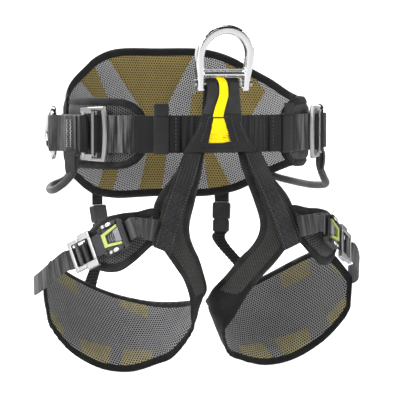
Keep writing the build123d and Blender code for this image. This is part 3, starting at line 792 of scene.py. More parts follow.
# Hip pads: smooth border round a black mesh field
HIP_PAD = [(207, 44, -44), (240, 43, -43), (290, 43, -43), (316, 42, -42), (332, 37, -37),
           (343, 28, -28), (350, 16, -16), (354, 5, -5)]
for side, hand in SIDES:
    hip = panel(f"hip_pad_cover_{side}", stations_outline(HIP_PAD), waist_place(-belt_gap), pad_thickness,
                rim=3.2, border=9.0, rim_thickness=5.0, puff=12.0, hand=hand, ripple=0.06)
    sewn(hip, (binding, hip_mesh, pad_open, border_cloth), "root", "hip_mesh", f"hip_pad_{side}", fill=0.7)

# Belt webbings; the buckle frame of reference matches the CAD one
buckle_run = 285.0
buckle_origin, buckle_out = waist(buckle_run, 9.0)
buckle_forward = Vector((buckle_out.y, -buckle_out.x, 0))
rear_bar = buckle_origin - buckle_forward * 14
tail_level = 2 * layer_gap + webbing


def around(centre, radius, start, stop, count):
    """Plan points of an arc, angles in degrees from +X."""
    return [(centre.x + radius * cos(radians(start + (stop - start) * k / count)),
             centre.y + radius * sin(radians(start + (stop - start) * k / count))) for k in range(count + 1)]


def plan(run, offset):
    point, _ = waist(run, offset)
    return point.x, point.y


facing = atan2(buckle_out.y, buckle_out.x) * 180 / pi
eye_turn = around(rear_bar, 3.3 + webbing, facing + 10, facing - 190, 10)
half_belt = [plan(run, layer_gap + webbing) for run in (0, 40, 80, 120, 160, 200, 225, 244)]
wrap = half_belt + eye_turn + [plan(256, -1.9), plan(248, -1.9)]
back_path = [(-x, y) for x, y in wrap[:0:-1]] + wrap
back_belt = strap("back_belt_webbing", plan_band(back_path, belt_height, 4), webbing, spacing=2.4)
back_run = max(corner.uv.x for corner in back_belt.data.uv_layers["weave"].data) / MM
# Painted highlight: both eyes of the back belt get the lighter eye webbing.
eye_highlight_length = 30
repaint(back_belt, 0, 1, -1, eye_highlight_length)
repaint(back_belt, 0, 1, back_run - eye_highlight_length, back_run + 1)
sewn(back_belt, (belt_paint, eye_highlight_paint), "root", "belt_webbing", "back_belt")


def by_buckle(forward, out):
    point = buckle_origin + buckle_forward * forward + buckle_out * out
    return point.x, point.y


# Front belt: both ends pass behind the end bar of a buckle and under its sliding bar
lead = [by_buckle(4.1, -1.3), by_buckle(8, -2.4), by_buckle(12.5, -5.3), by_buckle(18, -6.35)]
half_front = lead + [plan(run, layer_gap + webbing) for run in (308, 325, 350, 380, 410)]
front_path = half_front + [plan(front_centre, layer_gap + webbing)] + [(-x, y) for x, y in half_front[::-1]]
front_belt = strap("front_belt_webbing", plan_band(front_path, belt_height, 4), webbing, spacing=2.6)
sewn(front_belt, belt_paint, "root", "belt_webbing", "front_belt")

# Tails: from under the sliding bar, over it, behind the end bar and along the belt
tail_end = {"left": 375.0, "right": 388.0}
tail_turn = [by_buckle(3.9, -3.5), by_buckle(1.0, -3.3), by_buckle(-1.1, -2.2), by_buckle(-2.2, 0.5),
             by_buckle(-1.1, 3.3), by_buckle(1.8, 4.5), by_buckle(5.6, 4.4), by_buckle(8.4, 2.4),
             by_buckle(10.2, -1.4), by_buckle(13.2, -3.5)]
for side, hand in SIDES:
    stops = [306, 318, 330, 345, 360, tail_end[side]]
    path = tail_turn + [plan(run, tail_level + webbing) for run in stops]
    band = plan_band(path, belt_height, 5)
    tail = strap(f"belt_tail_webbing_{side}", band, webbing, hand=hand, ripple=0.22)
    stitches(f"tail_hem_{side}", [(band.length - 5, -20), (band.length - 5, 20)], band.place, "root",
             thread_grey, hand=hand)
    bar_near = Vector((*by_buckle(6.0, 0), 0)) * MM
    bar_far = Vector((*by_buckle(14.0, 0), 0)) * MM
    bend = (f"waist_buckle_bar_{side}", "root", mirrored(bar_near, hand), mirrored(bar_far, hand))
    sewn(tail, tail_paint, bend, "belt_webbing", f"belt_tail_{side}")

# Keepers: woven loops round belt and tail, with a folded pull tab
keeper_wall = 1.2
KEEPERS = {"left": (339.5, 356.0), "right": (357.0, 375.0)}
loop_reach = tail_level + webbing + layer_gap
for side, hand in SIDES:
    low, high = KEEPERS[side]
    centre_run, half_width = (low + high) / 2, (high - low) / 2
    ring_line = rounded_section(loop_reach + 0.1, belt_height + 0.6, 2.0, 5)
    rows = []
    for k, (o, z) in enumerate(ring_line):
        before, after = ring_line[k - 1], ring_line[(k + 1) % len(ring_line)]
        dx, dz = after[0] - before[0], after[1] - before[1]
        size = hypot(dx, dz)
        out_o, out_z = dz / size, -dx / size
        row = []
        for w, d in ((-1, 0.5), (-0.94, 0.12), (-0.4, 0), (0.4, 0), (0.94, 0.12), (1, 0.5), (0.94, 0.88),
                     (0.4, 1), (0, 1.04), (-0.4, 1), (-0.94, 0.88)):
            point, _ = waist(centre_run + w * half_width, o + loop_reach / 2 + out_o * d * keeper_wall)
            row.append(point + Vector((0, 0, z + out_z * d * keeper_wall)))
        rows.append(row)
    keeper = grid_mesh(f"belt_keeper_loop_{side}", rows, hand, loop=True)
    sewn(keeper, keeper_paint, f"belt_keeper_{side}", "keeper_webbing", f"belt_keeper_{side}")
    tab_rows = []
    for z, reach in ((22.5, 1.9), (26, 2.1), (30, 1.9), (34, 1.7), (36.4, 1.4)):
        ends = [waist(run, loop_reach + reach)[0] for run in (low + 0.3, high - 0.3)]
        tab_rows.append(tuple(tuple(p[:2]) + (z,) for p in ends))
    tab = strap(f"keeper_pull_tab_{side}", Band(tab_rows, 4), 2.6, hand=hand)
    sewn(tab, keeper_paint, f"belt_keeper_{side}", "keeper_webbing")

# Side tabs: webbing doubled round the bar of each side ring, sewn with two zigzag rows
ring_bar = Vector((177, -12, 0))
tab_base = Vector((159.4, -42, 0))
tab_along = (ring_bar - tab_base).normalized()
tab_out = Vector((tab_along.y, -tab_along.x, 0))
tab_face = atan2(tab_out.y, tab_out.x) * 180 / pi
inner = [tab_base - tab_out * 2.2 + tab_along * d for d in (0, 12, 22)]
outer = [tab_base + tab_out * 2.2 + tab_along * d for d in (24, 12, 0)]
eye_arc = around(ring_bar, 6.6, tab_face + 188, tab_face - 8, 12)
tab_path = [(p.x, p.y) for p in inner] + eye_arc + [(p.x, p.y) for p in outer]
tab_path += [(tab_base - tab_along * 4 + tab_out * 1.4)[:2]]
for side, hand in SIDES:
    band = plan_band(tab_path, belt_height - 1, 3)
    tab = strap(f"side_tab_webbing_{side}", band, webbing, hand=hand)
    sewn(tab, leg_paint, "root", "belt_webbing", f"side_tab_{side}")
    for row in (8.5, 14.5):
        stitches(f"side_tab_stitches_{row:.0f}_{side}", [(band.length - row, -17), (band.length - row, 17)],
                 band.place, "root", thread_white, length=2.2, gap=0.2, radius=0.55, hand=hand, zigzag=1.1)

# Side rings: forged D on its upright bar
RING_LINE = [(0, z) for z in range(-23, 24, 4)]
RING_LINE += [(6.5 - 6.5 * cos(radians(a)), 23 + 6.5 * sin(radians(a))) for a in range(15, 90, 15)]
RING_LINE += [(6.5 + 29.5 * sin(radians(a)), 29.5 * cos(radians(a))) for a in range(0, 181, 6)]
RING_LINE += [(6.5 - 6.5 * cos(radians(a)), -23 - 6.5 * sin(radians(a))) for a in range(75, 0, -15)]
ring_back = Vector((-0.10, 0.995, 0))
for side, hand in SIDES:
    line = [ring_bar + ring_back * x + Vector((0, 0, z)) for x, z in RING_LINE]
    side_ring = tube(f"side_ring_forging_{side}", line, rounded_section(7.4, 7.4, 2.6), hand, loop=True,
                     up=(0.995, 0.10, 0))
    sewn(side_ring, side_ring_paint, f"side_ring_{side}", "side_ring_steel", f"side_ring_{side}")


def buckle_place(x, z, out):
    return buckle_origin + buckle_forward * x + buckle_out * out + Vector((0, 0, z))


# Lip of each sliding bar over the webbing
lips = [box(2.0, 5.8, -26.5, 26.5, buckle_place, 4.7, 6.5)]
lips += [box(2.0, 5.8, low, low + 3.4, buckle_place, 0, 6.5) for low in (-26.6, 23.2)]
lips = cast("waist_buckle_lip", lips, SIDES, voxel=0.5)
for number, (side, hand) in enumerate(SIDES):
    sewn(lips[number], buckle_bar_paint, f"waist_buckle_bar_{side}", "buckle_steel")

# Webbing lugs that hold the front and rear ends of the gear loops
for side, hand in SIDES:
    lug_rows = []
    for z, reach in ((-20, 4.0), (-27, 8.6), (-38, 9.0), (-48, 7.4)):
        centre = tab_base + tab_out * reach + Vector((0, 0, z))
        lug_rows.append((tuple(centre + tab_along * 9), tuple(centre - tab_along * 9)))
    lug = strap(f"gear_loop_lug_{side}", Band(lug_rows, 4), webbing, hand=hand)
    sewn(lug, keeper_paint, "root", "gear_tube")
    lug_rows = [(plan(126, reach) + (z,), plan(144, reach) + (z,))
                for z, reach in ((-27, 2.6), (-38, 11.5), (-49, 11.5), (-57, 2.6))]
    lug = strap(f"gear_loop_rear_lug_{side}", Band(lug_rows, 4), webbing, hand=hand)
    sewn(lug, keeper_paint, "root", "gear_tube")

# Bridge: an A of webbing hung on the gate bar, with satin bands and a plain yellow strip and patch
ring_axis_y = -131.0
ring_axis_z = 61.0
bridge_webbing = 2.6
loop_radius = 6.5
bridge_line = [(ring_axis_y - loop_radius, 61), (-136.5, 46), (-132.5, 26), (-131, 10), (-131, -22)]
BRIDGE = [(61, -23.2, 17.6), (50, -23.4, 18.4), (38, -24.2, 20.4), (24, -27.6, 22.6), (8, -33.4, 24.6),
          (-8, -42.4, 33.5), (-21.5, -51.5, 44)]


def bridge_place(u, v, h):
    """u is across, v is up and then on over the gate bar; h is outwards."""
    if v > ring_axis_z:
        turn = (v - ring_axis_z) / loop_radius
        reach = loop_radius + h
        return Vector((u, ring_axis_y - reach * cos(turn), ring_axis_z + reach * sin(turn)))
    line = bridge_line[::-1]
    depth = float(np.interp(v, [z for _, z in line], [y for y, _ in line]))
    return Vector((u, depth - h, v))


def bridge_strap(name, edges, level, thickness, spacing=2.0):
    """Strip on the bridge; each edge pair is height, right end and left end."""
    rows = smooth(edges, 4)
    pairs = [(tuple(bridge_place(b, z, level)), tuple(bridge_place(a, z, level))) for z, a, b in rows]
    return strap(name, Band(pairs, 2), thickness, spacing=spacing)


bridge_outline = [(left, z) for z, _, left in BRIDGE] + [(right, z) for z, right, _ in BRIDGE[::-1]]
bridge = panel("bridge_webbing_front", bridge_outline, bridge_place, bridge_webbing, spacing=3.0, rim=1.6,
               rim_thickness=2.0, puff=3.0)
sewn(bridge, (bridge_paint, bridge_paint, bridge_paint), "root", "bridge_webbing", "bridge_front")

# Satin bands beside the yellow strip
SATIN = {"right": [(62, -21.8, -11.5), (50, -22.0, -9.8), (38, -22.8, -12.2), (24, -26.0, -15.6)],
         "left": [(62, 4.4, 16.2), (50, 5.2, 17.2), (38, 3.6, 19.0), (24, 0.6, 21.4)]}
for name, edges in SATIN.items():
    satin = bridge_strap(f"bridge_satin_band_{name}", edges, 0.5, 0.9, 2.5)
    sewn(satin, satin_paint, "root", "bridge_webbing")

# Yellow strip, curved and turned in over the gate bar, and yellow patch below a dark seam
PATCH_STRIP = [(72.5, -7.4, 5.2), (66.5, -6.0, 5.2), (60, -3.4, 5.4), (52, -2.4, 5.6), (45, -2.6, 6.0),
               (37.5, -4.4, 6.4), (29, -6.4, 6.6), (20.5, -7.9, 6.7)]
PATCH = [(19, -13.6, -0.6), (8, -16.0, 3.6), (-3, -18.6, 7.8), (-14.5, -21.0, 12.2)]
patch_strip = bridge_strap("bridge_yellow_strip", [(z, x - half, x + half) for z, x, half in PATCH_STRIP],
                           0.9, 0.7)
sewn(patch_strip, yellow, "root", "label_yellow", "bridge_patch")
sewn(bridge_strap("bridge_yellow_patch", PATCH, 1.2, 1.0), yellow, "root", "label_yellow")

# Dark crosspiece under the patch, and diagonal stitching down both arms of the A
cross_pairs = [(tuple(bridge_place(x, -15.4, 0.9)), tuple(bridge_place(x, -22.5, 0.9)))
               for x in (-25, -12, 0, 15)]
crosspiece = strap("bridge_crosspiece", Band(cross_pairs, 6), 1.2, spacing=2.5)
sewn(crosspiece, bridge_paint, "root", "bridge_webbing")
BRIDGE_SEAMS = {
    "upper_right": [(-14.8, 20.6), (-19.6, 20.4)], "upper_left": [(-0.4, 20.6), (5.6, 20.4)],
    "arm_right": [(-19.6, 20.2), (-22.8, 8), (-29.4, -10)], "arm_left": [(9.4, 20.2), (12.4, 8), (18.4, -10)],
    "edge_right": [(-28.6, 14), (-33.4, 2), (-41.4, -10)], "edge_left": [(20.4, 14), (24.6, 2), (31.4, -10)],
    "rim_right": [(-22.2, 50), (-23.2, 38), (-26.4, 24)], "rim_left": [(17.4, 50), (19.2, 38), (21.6, 24)]}
for name, line in BRIDGE_SEAMS.items():
    stitches(f"bridge_stitches_{name}", line, bridge_place, "root", thread_grey, length=2.2, gap=1.2,
             radius=0.3, lift=0.15)

# Back of the bridge: the webbing goes up and over the gate bar and down behind the belt
over = [(ring_axis_y + loop_radius * cos(radians(a)), ring_axis_z + loop_radius * sin(radians(a)))
        for a in range(182, -1, -20)]
back_line = over + [(-120, 46), (-117, 30), (-114.5, 10), (-114.5, -8), (-114.5, -22)]
pairs = [((BRIDGE[0][1], y, z), (BRIDGE[0][2], y, z)) for y, z in back_line]
bridge_back = strap("bridge_webbing_back", Band(pairs, 4), bridge_webbing)
sewn(bridge_back, bridge_paint, "root", "bridge_webbing", "bridge_back")

# Ventral ring: one casting of a bow, a crossbar, a thin rod above it and a stop beside the webbing
RING = [(-28.8, 52.5, 8.0), (-28.9, 60, 8.0), (-29.6, 70, 8.6), (-30.9, 80, 9.2), (-31.6, 88, 9.6)]
RING += [(-31.8 * cos(radians(a)), 94 + 32.2 * sin(radians(a)), 9.6 + 1.6 * sin(radians(a)))
         for a in range(0, 90, 10)]
RING += [(0, 126.2, 11.2)] + [(-x, z, t) for x, z, t in RING[::-1]]
ring_lean = radians(11)
ring_shift = -1.6


def ring_place(x, z, y):
    """Point of the upright ring, leant forward about its gate bar; y is the depth."""
    rise = z - ring_axis_z
    return Vector((x + ring_shift, ring_axis_y + y * cos(ring_lean) - rise * sin(ring_lean),
                   ring_axis_z + y * sin(ring_lean) + rise * cos(ring_lean)))


rows = []
for k, (x, z, width) in enumerate(RING):
    before, after = RING[max(k - 1, 0)], RING[min(k + 1, len(RING) - 1)]
    size = hypot(after[0] - before[0], after[1] - before[1])
    nx, nz = -(after[1] - before[1]) / size, (after[0] - before[0]) / size
    rows.append([ring_place(x + nx * a, z + nz * a, b) for a, b in rounded_section(width, 13, 3.4, 3)])
crossbar = [ring_place(x, 72.1, 0) for x in (-28, 0, 28)]
rod = [ring_place(x, 78.2, -3) for x in (-27, 0, 27)]
STOP = [(2, 69.4), (15, 69.2), (20.6, 67.4), (21.8, 62), (21.8, 57)]
stop = [ring_place(x, z, -4.2) for x, z in smooth(STOP, 5)]
parts = [grid_mesh("bow", rows), tube("bar", crossbar, rounded_section(9.0, 5.8, 2.8)),
         tube("rod", rod, disc_section(1.4)), tube("stop", stop, disc_section(0.95, 10))]
for hand in (-1, 1):
    hook = [ring_place(hand * x, 53.8, -3) for x in (29, 25.6, 24.2)]
    parts.append(tube("hook", hook, rounded_section(5.4, 4.2, 2.0), up=(0, 0, 1)))
ring, = cast("ventral_ring_casting", parts, voxel=0.55, rounding=3)
sewn(ring, ring_paint, "ventral_ring", "ring_alloy", "ventral_ring")

# Leg loops: each pair is a point of the outer or lower edge and a point of the inner or upper edge
STEM = [((49, -125, -25.5), (22, -126, -26)), ((57, -127, -41), (27, -130, -46)),
        ((71, -130, -58), (33, -134, -64)), ((85, -132, -76), (40, -138, -86)),
        ((91, -136, -95), (45, -139, -106)), ((89, -140, -118), (43, -137, -122)),
        ((77, -142, -138), (35, -131, -137)), ((62, -139, -157), (24, -120, -151)),
        ((48, -131, -174), (12, -105, -172))]
CROTCH = [((35, -116, -197), (1.8, -87, -190)), ((25, -96, -225), (1.2, -66, -203)),
          ((18, -77, -246), (5.5, -44, -209)), ((33, -52, -277), (25, -7, -214))]


def rear_edge_top(turn):
    return (105.7 + 98.9 * cos(turn), -45.5 + 91.5 * sin(turn),
            -185 + 32.7 * cos(turn) - 4.4 * sin(turn) + 9.4 * cos(2 * turn) + 5.1 * sin(2 * turn))


def rear_edge_bottom(turn):
    return (104 + 100.8 * cos(turn), -64.5 + 24.6 * sin(turn),
            -221 + 5.2 * cos(turn) - 66.4 * sin(turn) + 8 * cos(2 * turn) + 2.9 * sin(2 * turn))


REAR = [(rear_edge_bottom(radians(b)), rear_edge_top(radians(a)))
        for a, b in ((125, 120), (100, 98), (75, 75), (50, 50), (25, 27), (8, 14))]
LEG_PATCHES = [
    [(216, 30), (268, 36), (266, 60), (226, 60)], [(158, 32), (198, 30), (208, 56), (164, 54)],
    [(186, -55), (188, -38), (154, -18), (148, -44)], [(248, -62), (292, -54), (290, -30), (250, -32)],
    [(298, 36), (336, 26), (340, 42), (302, 50)], [(316, -34), (356, -24), (352, 6), (326, -10)]]
leg_band = Band(STEM + CROTCH + REAR)
stem_end = leg_band.s[BAND_STEPS * (len(STEM) - 1)]
leg_end = leg_band.length - 2
leg_edges = band_outline(leg_band, -6.0, leg_end)
leg_round = [(leg_end + 10 * (1 - q * q), leg_band.half(leg_end) * q) for q in (0.85, 0.6, 0.35, 0.15)]
STEM_MESH = FIRST_PATCH + 1
corner_cut = {"left": 26, "right": 44}
for side, hand in SIDES:
    patches = [[(u + stem_end, v) for u, v in polygon] for polygon in LEG_PATCHES]
    leg_outline = [(s, t) for s, t in leg_edges if t > 0] + leg_round
    leg_outline += [(s, t) for s, t in leg_edges if t < 0 and s < leg_end - corner_cut[side]]
    pad = panel(f"leg_pad_cover_{side}", leg_outline, leg_band.place, leg_pad_thickness, spacing=4.2, rim=9.0,
                rim_thickness=4.4, puff=13.0, patches=patches, seam_depth=0.12, hand=hand, ripple=0.06)
    for slot in range(FIRST_PATCH + 1, FIRST_PATCH + len(patches)):
        repaint(pad, slot, FIRST_PATCH, -1000, 1000)
    repaint(pad, RIM, BORDER, -1000, stem_end + 10)
    repaint(pad, OUTER, STEM_MESH, -1000, stem_end + 30)
    repaint(pad, INNER, OUTER, -1000, stem_end)
    bend = ("root", f"leg_{side}", (0.036 * hand, -0.126, -0.026), (0.055 * hand, -0.13, -0.06))
    sewn(pad, (binding, back_cloth, leg_grey, border_cloth, leg_khaki, band_mesh), bend, "leg_mesh",
         f"leg_pad_{side}", f"leg_front_pad_{side}", fill=0.6)

# Wing pads under the leg buckles
WING = [((80, -133.5, -88), (82, -143, -126)), ((93, -134, -86), (95, -142.5, -131)),
        ((110, -134, -90), (112, -138, -147)), ((128, -131, -92), (128, -129, -160)),
        ((145, -119, -97), (143, -118, -163)), ((157, -108, -107), (157, -105, -158)),
        ((166, -96, -121), (166, -95, -146))]
wing_band = Band(WING)
for side, hand in SIDES:
    wing = panel(f"buckle_pad_cover_{side}", band_outline(wing_band, 0.0, wing_band.length), wing_band.place,
                 leg_pad_thickness, spacing=3.4, rim=2.6, border=11.0, rim_thickness=4.6, puff=9.0, hand=hand,
                 ripple=0.08, seams=[[(35, -40), (32, 0), (37, 40)]], taper=20.0)
    sewn(wing, (binding, hip_mesh, back_cloth, border_cloth), f"leg_{side}", "leg_band", f"buckle_pad_{side}",
         fill=0.75)

# Risers from the bridge to the leg buckles, with stitched edges and a thin piping
RISER = [((50, -129, -27), (30, -131, -28)), ((61, -132, -50), (38, -136, -52)),
         ((74, -137, -78), (50, -141, -82)), ((86, -142.5, -107), (62, -144, -114)),
         ((98, -147, -141), (74, -148.5, -152))]
riser_band = Band(RISER)
for side, hand in SIDES:
    bend = ("root", f"leg_{side}", (0.04 * hand, -0.130, -0.028), (0.055 * hand, -0.134, -0.060))
    riser = strap(f"leg_riser_webbing_{side}", riser_band, webbing, spacing=2.2, start=-6.0, hand=hand,
                  dents=(-9.5, 9.5), ribs=(3.4, 0.12))
    sewn(riser, riser_paint, bend, "leg_webbing", f"leg_riser_{side}")
    for name, t in (("inner", -9.4), ("outer", 9.4)):
        line = [(s, t) for s in np.linspace(-3, riser_band.length - 6, 13)]
        stitches(f"riser_stitches_{name}_{side}", line, riser_band.place, bend, thread_grey,
                 length=2.4, gap=1.3, radius=0.32, lift=0.0, hand=hand)
    edge = [riser_band.place(s, riser_band.half(s) + 0.9, -0.9)
            for s in np.linspace(-5.5, riser_band.length - 12, 42)]
    piping = tube(f"riser_piping_{side}", edge, disc_section(0.85, 8), hand)
    sewn(piping, piping_paint, bend, "leg_webbing")

# Leg buckle frame of reference: along the strap, up across it, outward
buckle_centre = Vector((141.4, -137, -119))
along_axis = Vector((0.67, 0.60, -0.44)).normalized()
out_axis = Vector((0.72, -0.67, 0.17))
out_axis = (out_axis - along_axis * out_axis.dot(along_axis)).normalized()
up_axis = out_axis.cross(along_axis)


def on_buckle(x, y, z):
    return buckle_centre + along_axis * x + up_axis * y + out_axis * z


def edge_pair(x, z, half_width):
    return tuple(on_buckle(x, half_width, z)), tuple(on_buckle(x, -half_width, z))


SOCKET_STRAP = [((98, -147, -98), (101, -149, -123)), edge_pair(-30, -3, 12.5), edge_pair(-18.5, -4, 12.5)]
LEG_STRAP = [edge_pair(41, -3.4, 12.5), edge_pair(42.6, -6.6, 12.5), edge_pair(47, -8.0, 12.5),
             edge_pair(55, -8.2, 12.5), edge_pair(63, -6.0, 12.5), ((190, -92, -139), (186, -93, -163)),
             ((201, -79, -151), (198, -80, -175)), ((208, -63, -162), (207, -64, -187)),
             ((209.5, -47, -168), (209.5, -48, -193)), ((208.3, -31, -172), (208.6, -33, -196))]
socket_band = Band(SOCKET_STRAP)
strap_band = Band(LEG_STRAP)
for side, hand in SIDES:
    fixed = strap(f"leg_socket_strap_webbing_{side}", socket_band, webbing, start=-9.0, hand=hand)
    sewn(fixed, leg_paint, f"leg_{side}", "leg_webbing", f"leg_socket_strap_{side}")
    stitches(f"socket_strap_bar_tack_{side}", [(16, -9), (16, 9)], socket_band.place, f"leg_{side}",
             thread_grey, length=1.1, gap=0.1, radius=0.5, hand=hand, zigzag=2.6)
    free = strap(f"leg_strap_webbing_{side}", strap_band, webbing, spacing=2.4, hand=hand)
    near = mirrored(strap_band.place(25, 0, 0) * MM, hand)
    far = mirrored(strap_band.place(strap_band.length - 14, 0, 0) * MM, hand)
    sewn(free, leg_paint, (f"leg_buckle_frame_{side}", f"leg_{side}", near, far), "leg_webbing",
         f"leg_strap_{side}")

# Sliding half of the leg buckle: cast frame with stepped cheeks, steel tongue and knurled roller
sides = []
for v in (1, -1):
    sides += [box(29, 45.2, v * 14, v * 22.4, on_buckle, -6.6, -1.0),
              box(46.6, 61, v * 14, v * 19.2, on_buckle, -6.4, -1.6),
              box(40, 50, v * 14, v * 18.0, on_buckle, -5.8, -2.6)]
bars = [box(29, 33.8, -15, 15, on_buckle, -6.4, -1.4), box(56.4, 61.2, -18, 18, on_buckle, -6.4, -1.6)]
frames = cast("leg_buckle_casting", sides + bars, SIDES, rounding=3)
tongues = cast("leg_buckle_tongue", [box(5, 31, -13, 13, on_buckle, -6.3, -3.7)], SIDES, rounding=1)
thumb_block = prism([(-2.2, 7.2), (-9.8, 8.6), (-9.8, -8.6), (-2.2, -7.2)], on_buckle, -1.8, 0.5)
blocks = cast("leg_buckle_thumb_block", [thumb_block], SIDES, voxel=0.4, rounding=5)
HOUSING = [(-17, 15), (-13, 19), (13, 19), (17.5, 16), (17.5, 10), (14.6, 8.4)]
housing = [prism(HOUSING + [(x, -y) for x, y in HOUSING[::-1]], on_buckle, -7.6, -1.5)]
housing.append(box(-16.6, -14.6, -15, 15, on_buckle, -3, -0.5))
for near, far, edge in ((13.0, 14.6, 17.4), (15.6, 17.2, 16.4)):
    housing += [box(near, far, low, high, on_buckle, -3, 0.2) for low, high in ((10.6, edge), (-edge, -10.6))]
sockets = cast("leg_buckle_housing", housing, SIDES, voxel=0.5, rounding=2)
for number, (side, hand) in enumerate(SIDES):
    sewn(frames[number], leg_buckle_paint, f"leg_buckle_frame_{side}", "leg_buckle_alloy",
         f"leg_buckle_frame_{side}")
    sewn(tongues[number], tongue_paint, f"leg_buckle_frame_{side}", "grip_steel")
    roller = tube(f"leg_strap_roller_{side}", [on_buckle(50.5, y, -4) for y in np.linspace(-13.3, 13.3, 7)],
                  disc_section(2.8, 20), hand)
    sewn(roller, grip_paint, f"leg_strap_grip_bar_{side}", "grip_steel", f"leg_strap_grip_bar_{side}")
    sewn(blocks[number], thumb_paint, f"leg_{side}", "lever_alloy", f"leg_buckle_thumb_pad_{side}")
    sewn(sockets[number], socket_paint, f"leg_{side}", "socket_plastic", f"leg_buckle_socket_{side}")
    for rib, (x, reach) in enumerate(((6.2, 4.0), (3.2, 5.2), (0.4, 6.2)), 1):
        line = [on_buckle(x - 0.05 * y * y, y, -1.2) for y in np.linspace(-reach, reach, 9)]
        ridge = tube(f"leg_buckle_ridge_{rib}_{side}", line, disc_section(0.55, 8), hand)
        sewn(ridge, thumb_paint, f"leg_{side}", "lever_alloy")
    for where, v in (("upper", 1), ("lower", -1)):
        for part, x, reach, bulge in (("grip", 0.6, 4.6, 2.7), ("stud", 8.0, 2.5, 2.3)):
            line = [on_buckle(x + reach * sin(t), v * 16.2, 0.2) for t in np.linspace(-1.5, 1.5, 11)]
            rows = [[p + up_axis * (a * bulge * cos(t) ** 0.7) + out_axis * (b * 2.0 * cos(t) ** 0.7)
                     for a, b in disc_section(1.0, 14)] for p, t in zip(line, np.linspace(-1.5, 1.5, 11))]
            cap = grid_mesh(f"release_lever_{part}_{where}_{side}", rows, hand)
            sewn(cap, lever_paint, f"release_lever_{where}_{side}", "lever_alloy")

# Rear suspension: strap, side-release clip and ribbed elastic
rear_strap_run = 88.0
strap_top, strap_out = waist(rear_strap_run, 1.5)
clip_across = Vector((strap_out.y, -strap_out.x, 0))
clip_up = Vector((0.096, 0.183, 0.978))
clip_in = clip_across.cross(clip_up).normalized()
clip_up = clip_in.cross(clip_across)
clip_origin = Vector((84, 101, -109))


def on_clip(x, y, z):
    return tuple(clip_origin + clip_across * x + clip_up * y + clip_in * z)


strap_high = strap_top + Vector((0, 0, -60))
REAR_STRAP = [(tuple(strap_high + clip_across * 9.5), tuple(strap_high - clip_across * 9.5))]
REAR_STRAP += [(on_clip(9.5, y, z), on_clip(-9.5, y, z)) for y, z in ((26, 4), (12.5, 1.1))]
elastic_foot = Vector(rear_edge_top(radians(87)))
foot_out = Vector((0, 0.745, -0.667))
foot_down = Vector((-0.06, -0.667, -0.743))
ELASTIC = [(on_clip(8.6, y, z), on_clip(-8.6, y, z)) for y, z in ((-25.4, 0.8), (-40, 0.9))]
for centre in (elastic_foot + foot_out * 3.6 - foot_down * 5, elastic_foot + foot_out * 3.4 + foot_down * 16):
    ELASTIC.append((tuple(centre + Vector((8.6, 0, 0))), tuple(centre - Vector((8.6, 0, 0)))))
rear_band = Band(REAR_STRAP)
elastic_band = Band(ELASTIC)
for side, hand in SIDES:
    hanger = strap(f"rear_strap_webbing_{side}", rear_band, webbing, hand=hand)
    sewn(hanger, belt_paint, "root", "belt_webbing", f"rear_strap_{side}")
    elastic = strap(f"leg_elastic_band_{side}", elastic_band, 1.8, spacing=0.7, hand=hand, ribs=(5.4, 1.5))
    high = mirrored(elastic_band.place(2, 0, 0) * MM, hand)
    low = mirrored(elastic_band.place(elastic_band.length - 18, 0, 0) * MM, hand)
    sewn(elastic, elastic_paint, ("root", f"leg_{side}", high, low), "elastic", f"leg_elastic_{side}")

# Gear loops: braided sheath over a stiff tube
GEAR_LOOP = [(160, -46, -28), (161, -45, -44), (169, -38, -58), (178, -24, -68), (175, 10, -71),
             (163, 46, -68), tuple(waist(152, 6.0)[0] + Vector((0, 0, -60))),
             tuple(waist(134, 4.8)[0] + Vector((0, 0, -44)))]
for side, hand in SIDES:
    line = smooth(GEAR_LOOP, 10)
    sheath = tube(f"gear_loop_sheath_{side}", line, disc_section(4.5, 18), hand)
    sewn(sheath, gear_paint, "root", "gear_tube", f"gear_loop_{side}")

# Hardware that keeps its CAD shape gets its finish
FINISH = {"ring_gate_bar": screw_paint, "ring_gate_screws": screw_paint}
PAIR_FINISH = {"waist_buckle_frame": buckle_paint, "waist_buckle_bar": buckle_bar_paint,
               "leg_buckle_trim": lime_paint, "release_lever_upper": tongue_paint,
               "release_lever_lower": tongue_paint, "rear_clip_socket": clip_paint,
               "rear_clip_plug": clip_paint}
for name, paint in PAIR_FINISH.items():
    for side, _ in SIDES:
        FINISH[f"{name}_{side}"] = paint
for name, paint in FINISH.items():
    for material_slot in nodes[name].material_slots:
        material_slot.material = paint

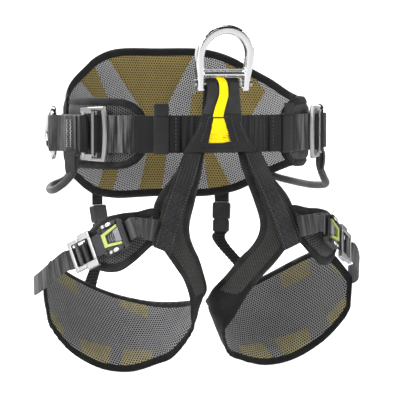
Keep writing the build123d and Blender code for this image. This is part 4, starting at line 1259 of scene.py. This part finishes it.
# ---------------- stage
floor_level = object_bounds()[0][2] - 0.004
profile = [(-8.0, 0.0), (4.6, 0.0)] + [(4.6 + 1.4 * sin(radians(a)), 1.4 - 1.4 * cos(radians(a)))
                                       for a in range(6, 91, 6)] + [(6.0, 5.0)]
points = [(x * 1000, y * 1000, (z + floor_level) * 1000) for y, z in profile for x in (-9.0, 9.0)]
faces = [(2 * i, 2 * i + 1, 2 * i + 3, 2 * i + 2) for i in range(len(profile) - 1)]
backdrop = make_mesh("studio_floor", points, faces, slots=[0] + [1] * (len(faces) - 1),
                     point_uvs=[(0, 0)] * len(points))
for name, glow in (("floor", 0.34), ("wall", 1.0)):
    stage_paint = Paint(name, roughness=0.9, specular=0.1)
    stage_paint.fixed(Emission_Color=(1, 1, 1, 1), Emission_Strength=glow)
    tones = stage_paint.mix(stage_paint.noise(3.0, 2), (0.86, 0.86, 0.86), (0.90, 0.90, 0.90))
    backdrop.data.materials.append(stage_paint.done(tones))


def soft_light(name, place, target, size, power):
    light = bpy.data.lights.new(name, "AREA")
    light.shape = "RECTANGLE"
    light.size, light.size_y = size
    light.energy = power
    lamp = bpy.data.objects.new(name, light)
    lamp.location = place
    lamp.rotation_euler = (Vector(target) - Vector(place)).to_track_quat("-Z", "Y").to_euler()
    bpy.context.collection.objects.link(lamp)


soft_light("key_light", (-2.6, -1.5, 1.1), (0, 0, -0.05), (1.0, 1.8), 72)
soft_light("fill_light", (2.6, -0.9, 0.8), (0, 0, -0.1), (0.9, 1.8), 38)
soft_light("front_light", (-0.6, -3.2, 1.4), (0, 0, -0.1), (1.4, 0.8), 10)
soft_light("top_light", (0.1, 0.1, 2.2), (0, 0, 0), (1.6, 1.0), 24)
soft_light("back_light", (-0.6, 2.2, 1.4), (0, 1.6, 0.2), (3.6, 1.6), 116)
world = bpy.data.worlds.new("studio")
world.use_nodes = True
tree = world.node_tree
height = tree.nodes.new("ShaderNodeSeparateXYZ")
tree.links.new(tree.nodes.new("ShaderNodeTexCoord").outputs["Generated"], height.inputs[0])
shade = tree.nodes.new("ShaderNodeMapRange")
shade.interpolation_type = "SMOOTHSTEP"
tree.links.new(height.outputs["Z"], shade.inputs["Value"])
for socket, value in (("From Min", 0.05), ("From Max", 0.55), ("To Min", 0.2), ("To Max", 0.95)):
    shade.inputs[socket].default_value = value
tree.links.new(shade.outputs[0], tree.nodes["Background"].inputs["Strength"])
bpy.context.scene.world = world
bpy.context.scene.view_settings.view_transform = "Standard"

camera_data = bpy.data.cameras.new("camera")
camera_data.lens = 201.6
camera_data.sensor_width = 36
camera_data.clip_end = 50
camera = bpy.data.objects.new("camera", camera_data)
bpy.context.collection.objects.link(camera)
camera.location = (-0.9424, -2.6366, 0.0848)
aim = Vector((0.0135, -0.0105, -0.0861))
camera.rotation_euler = (aim - camera.location).to_track_quat("-Z", "Y").to_euler()
bpy.context.scene.camera = camera
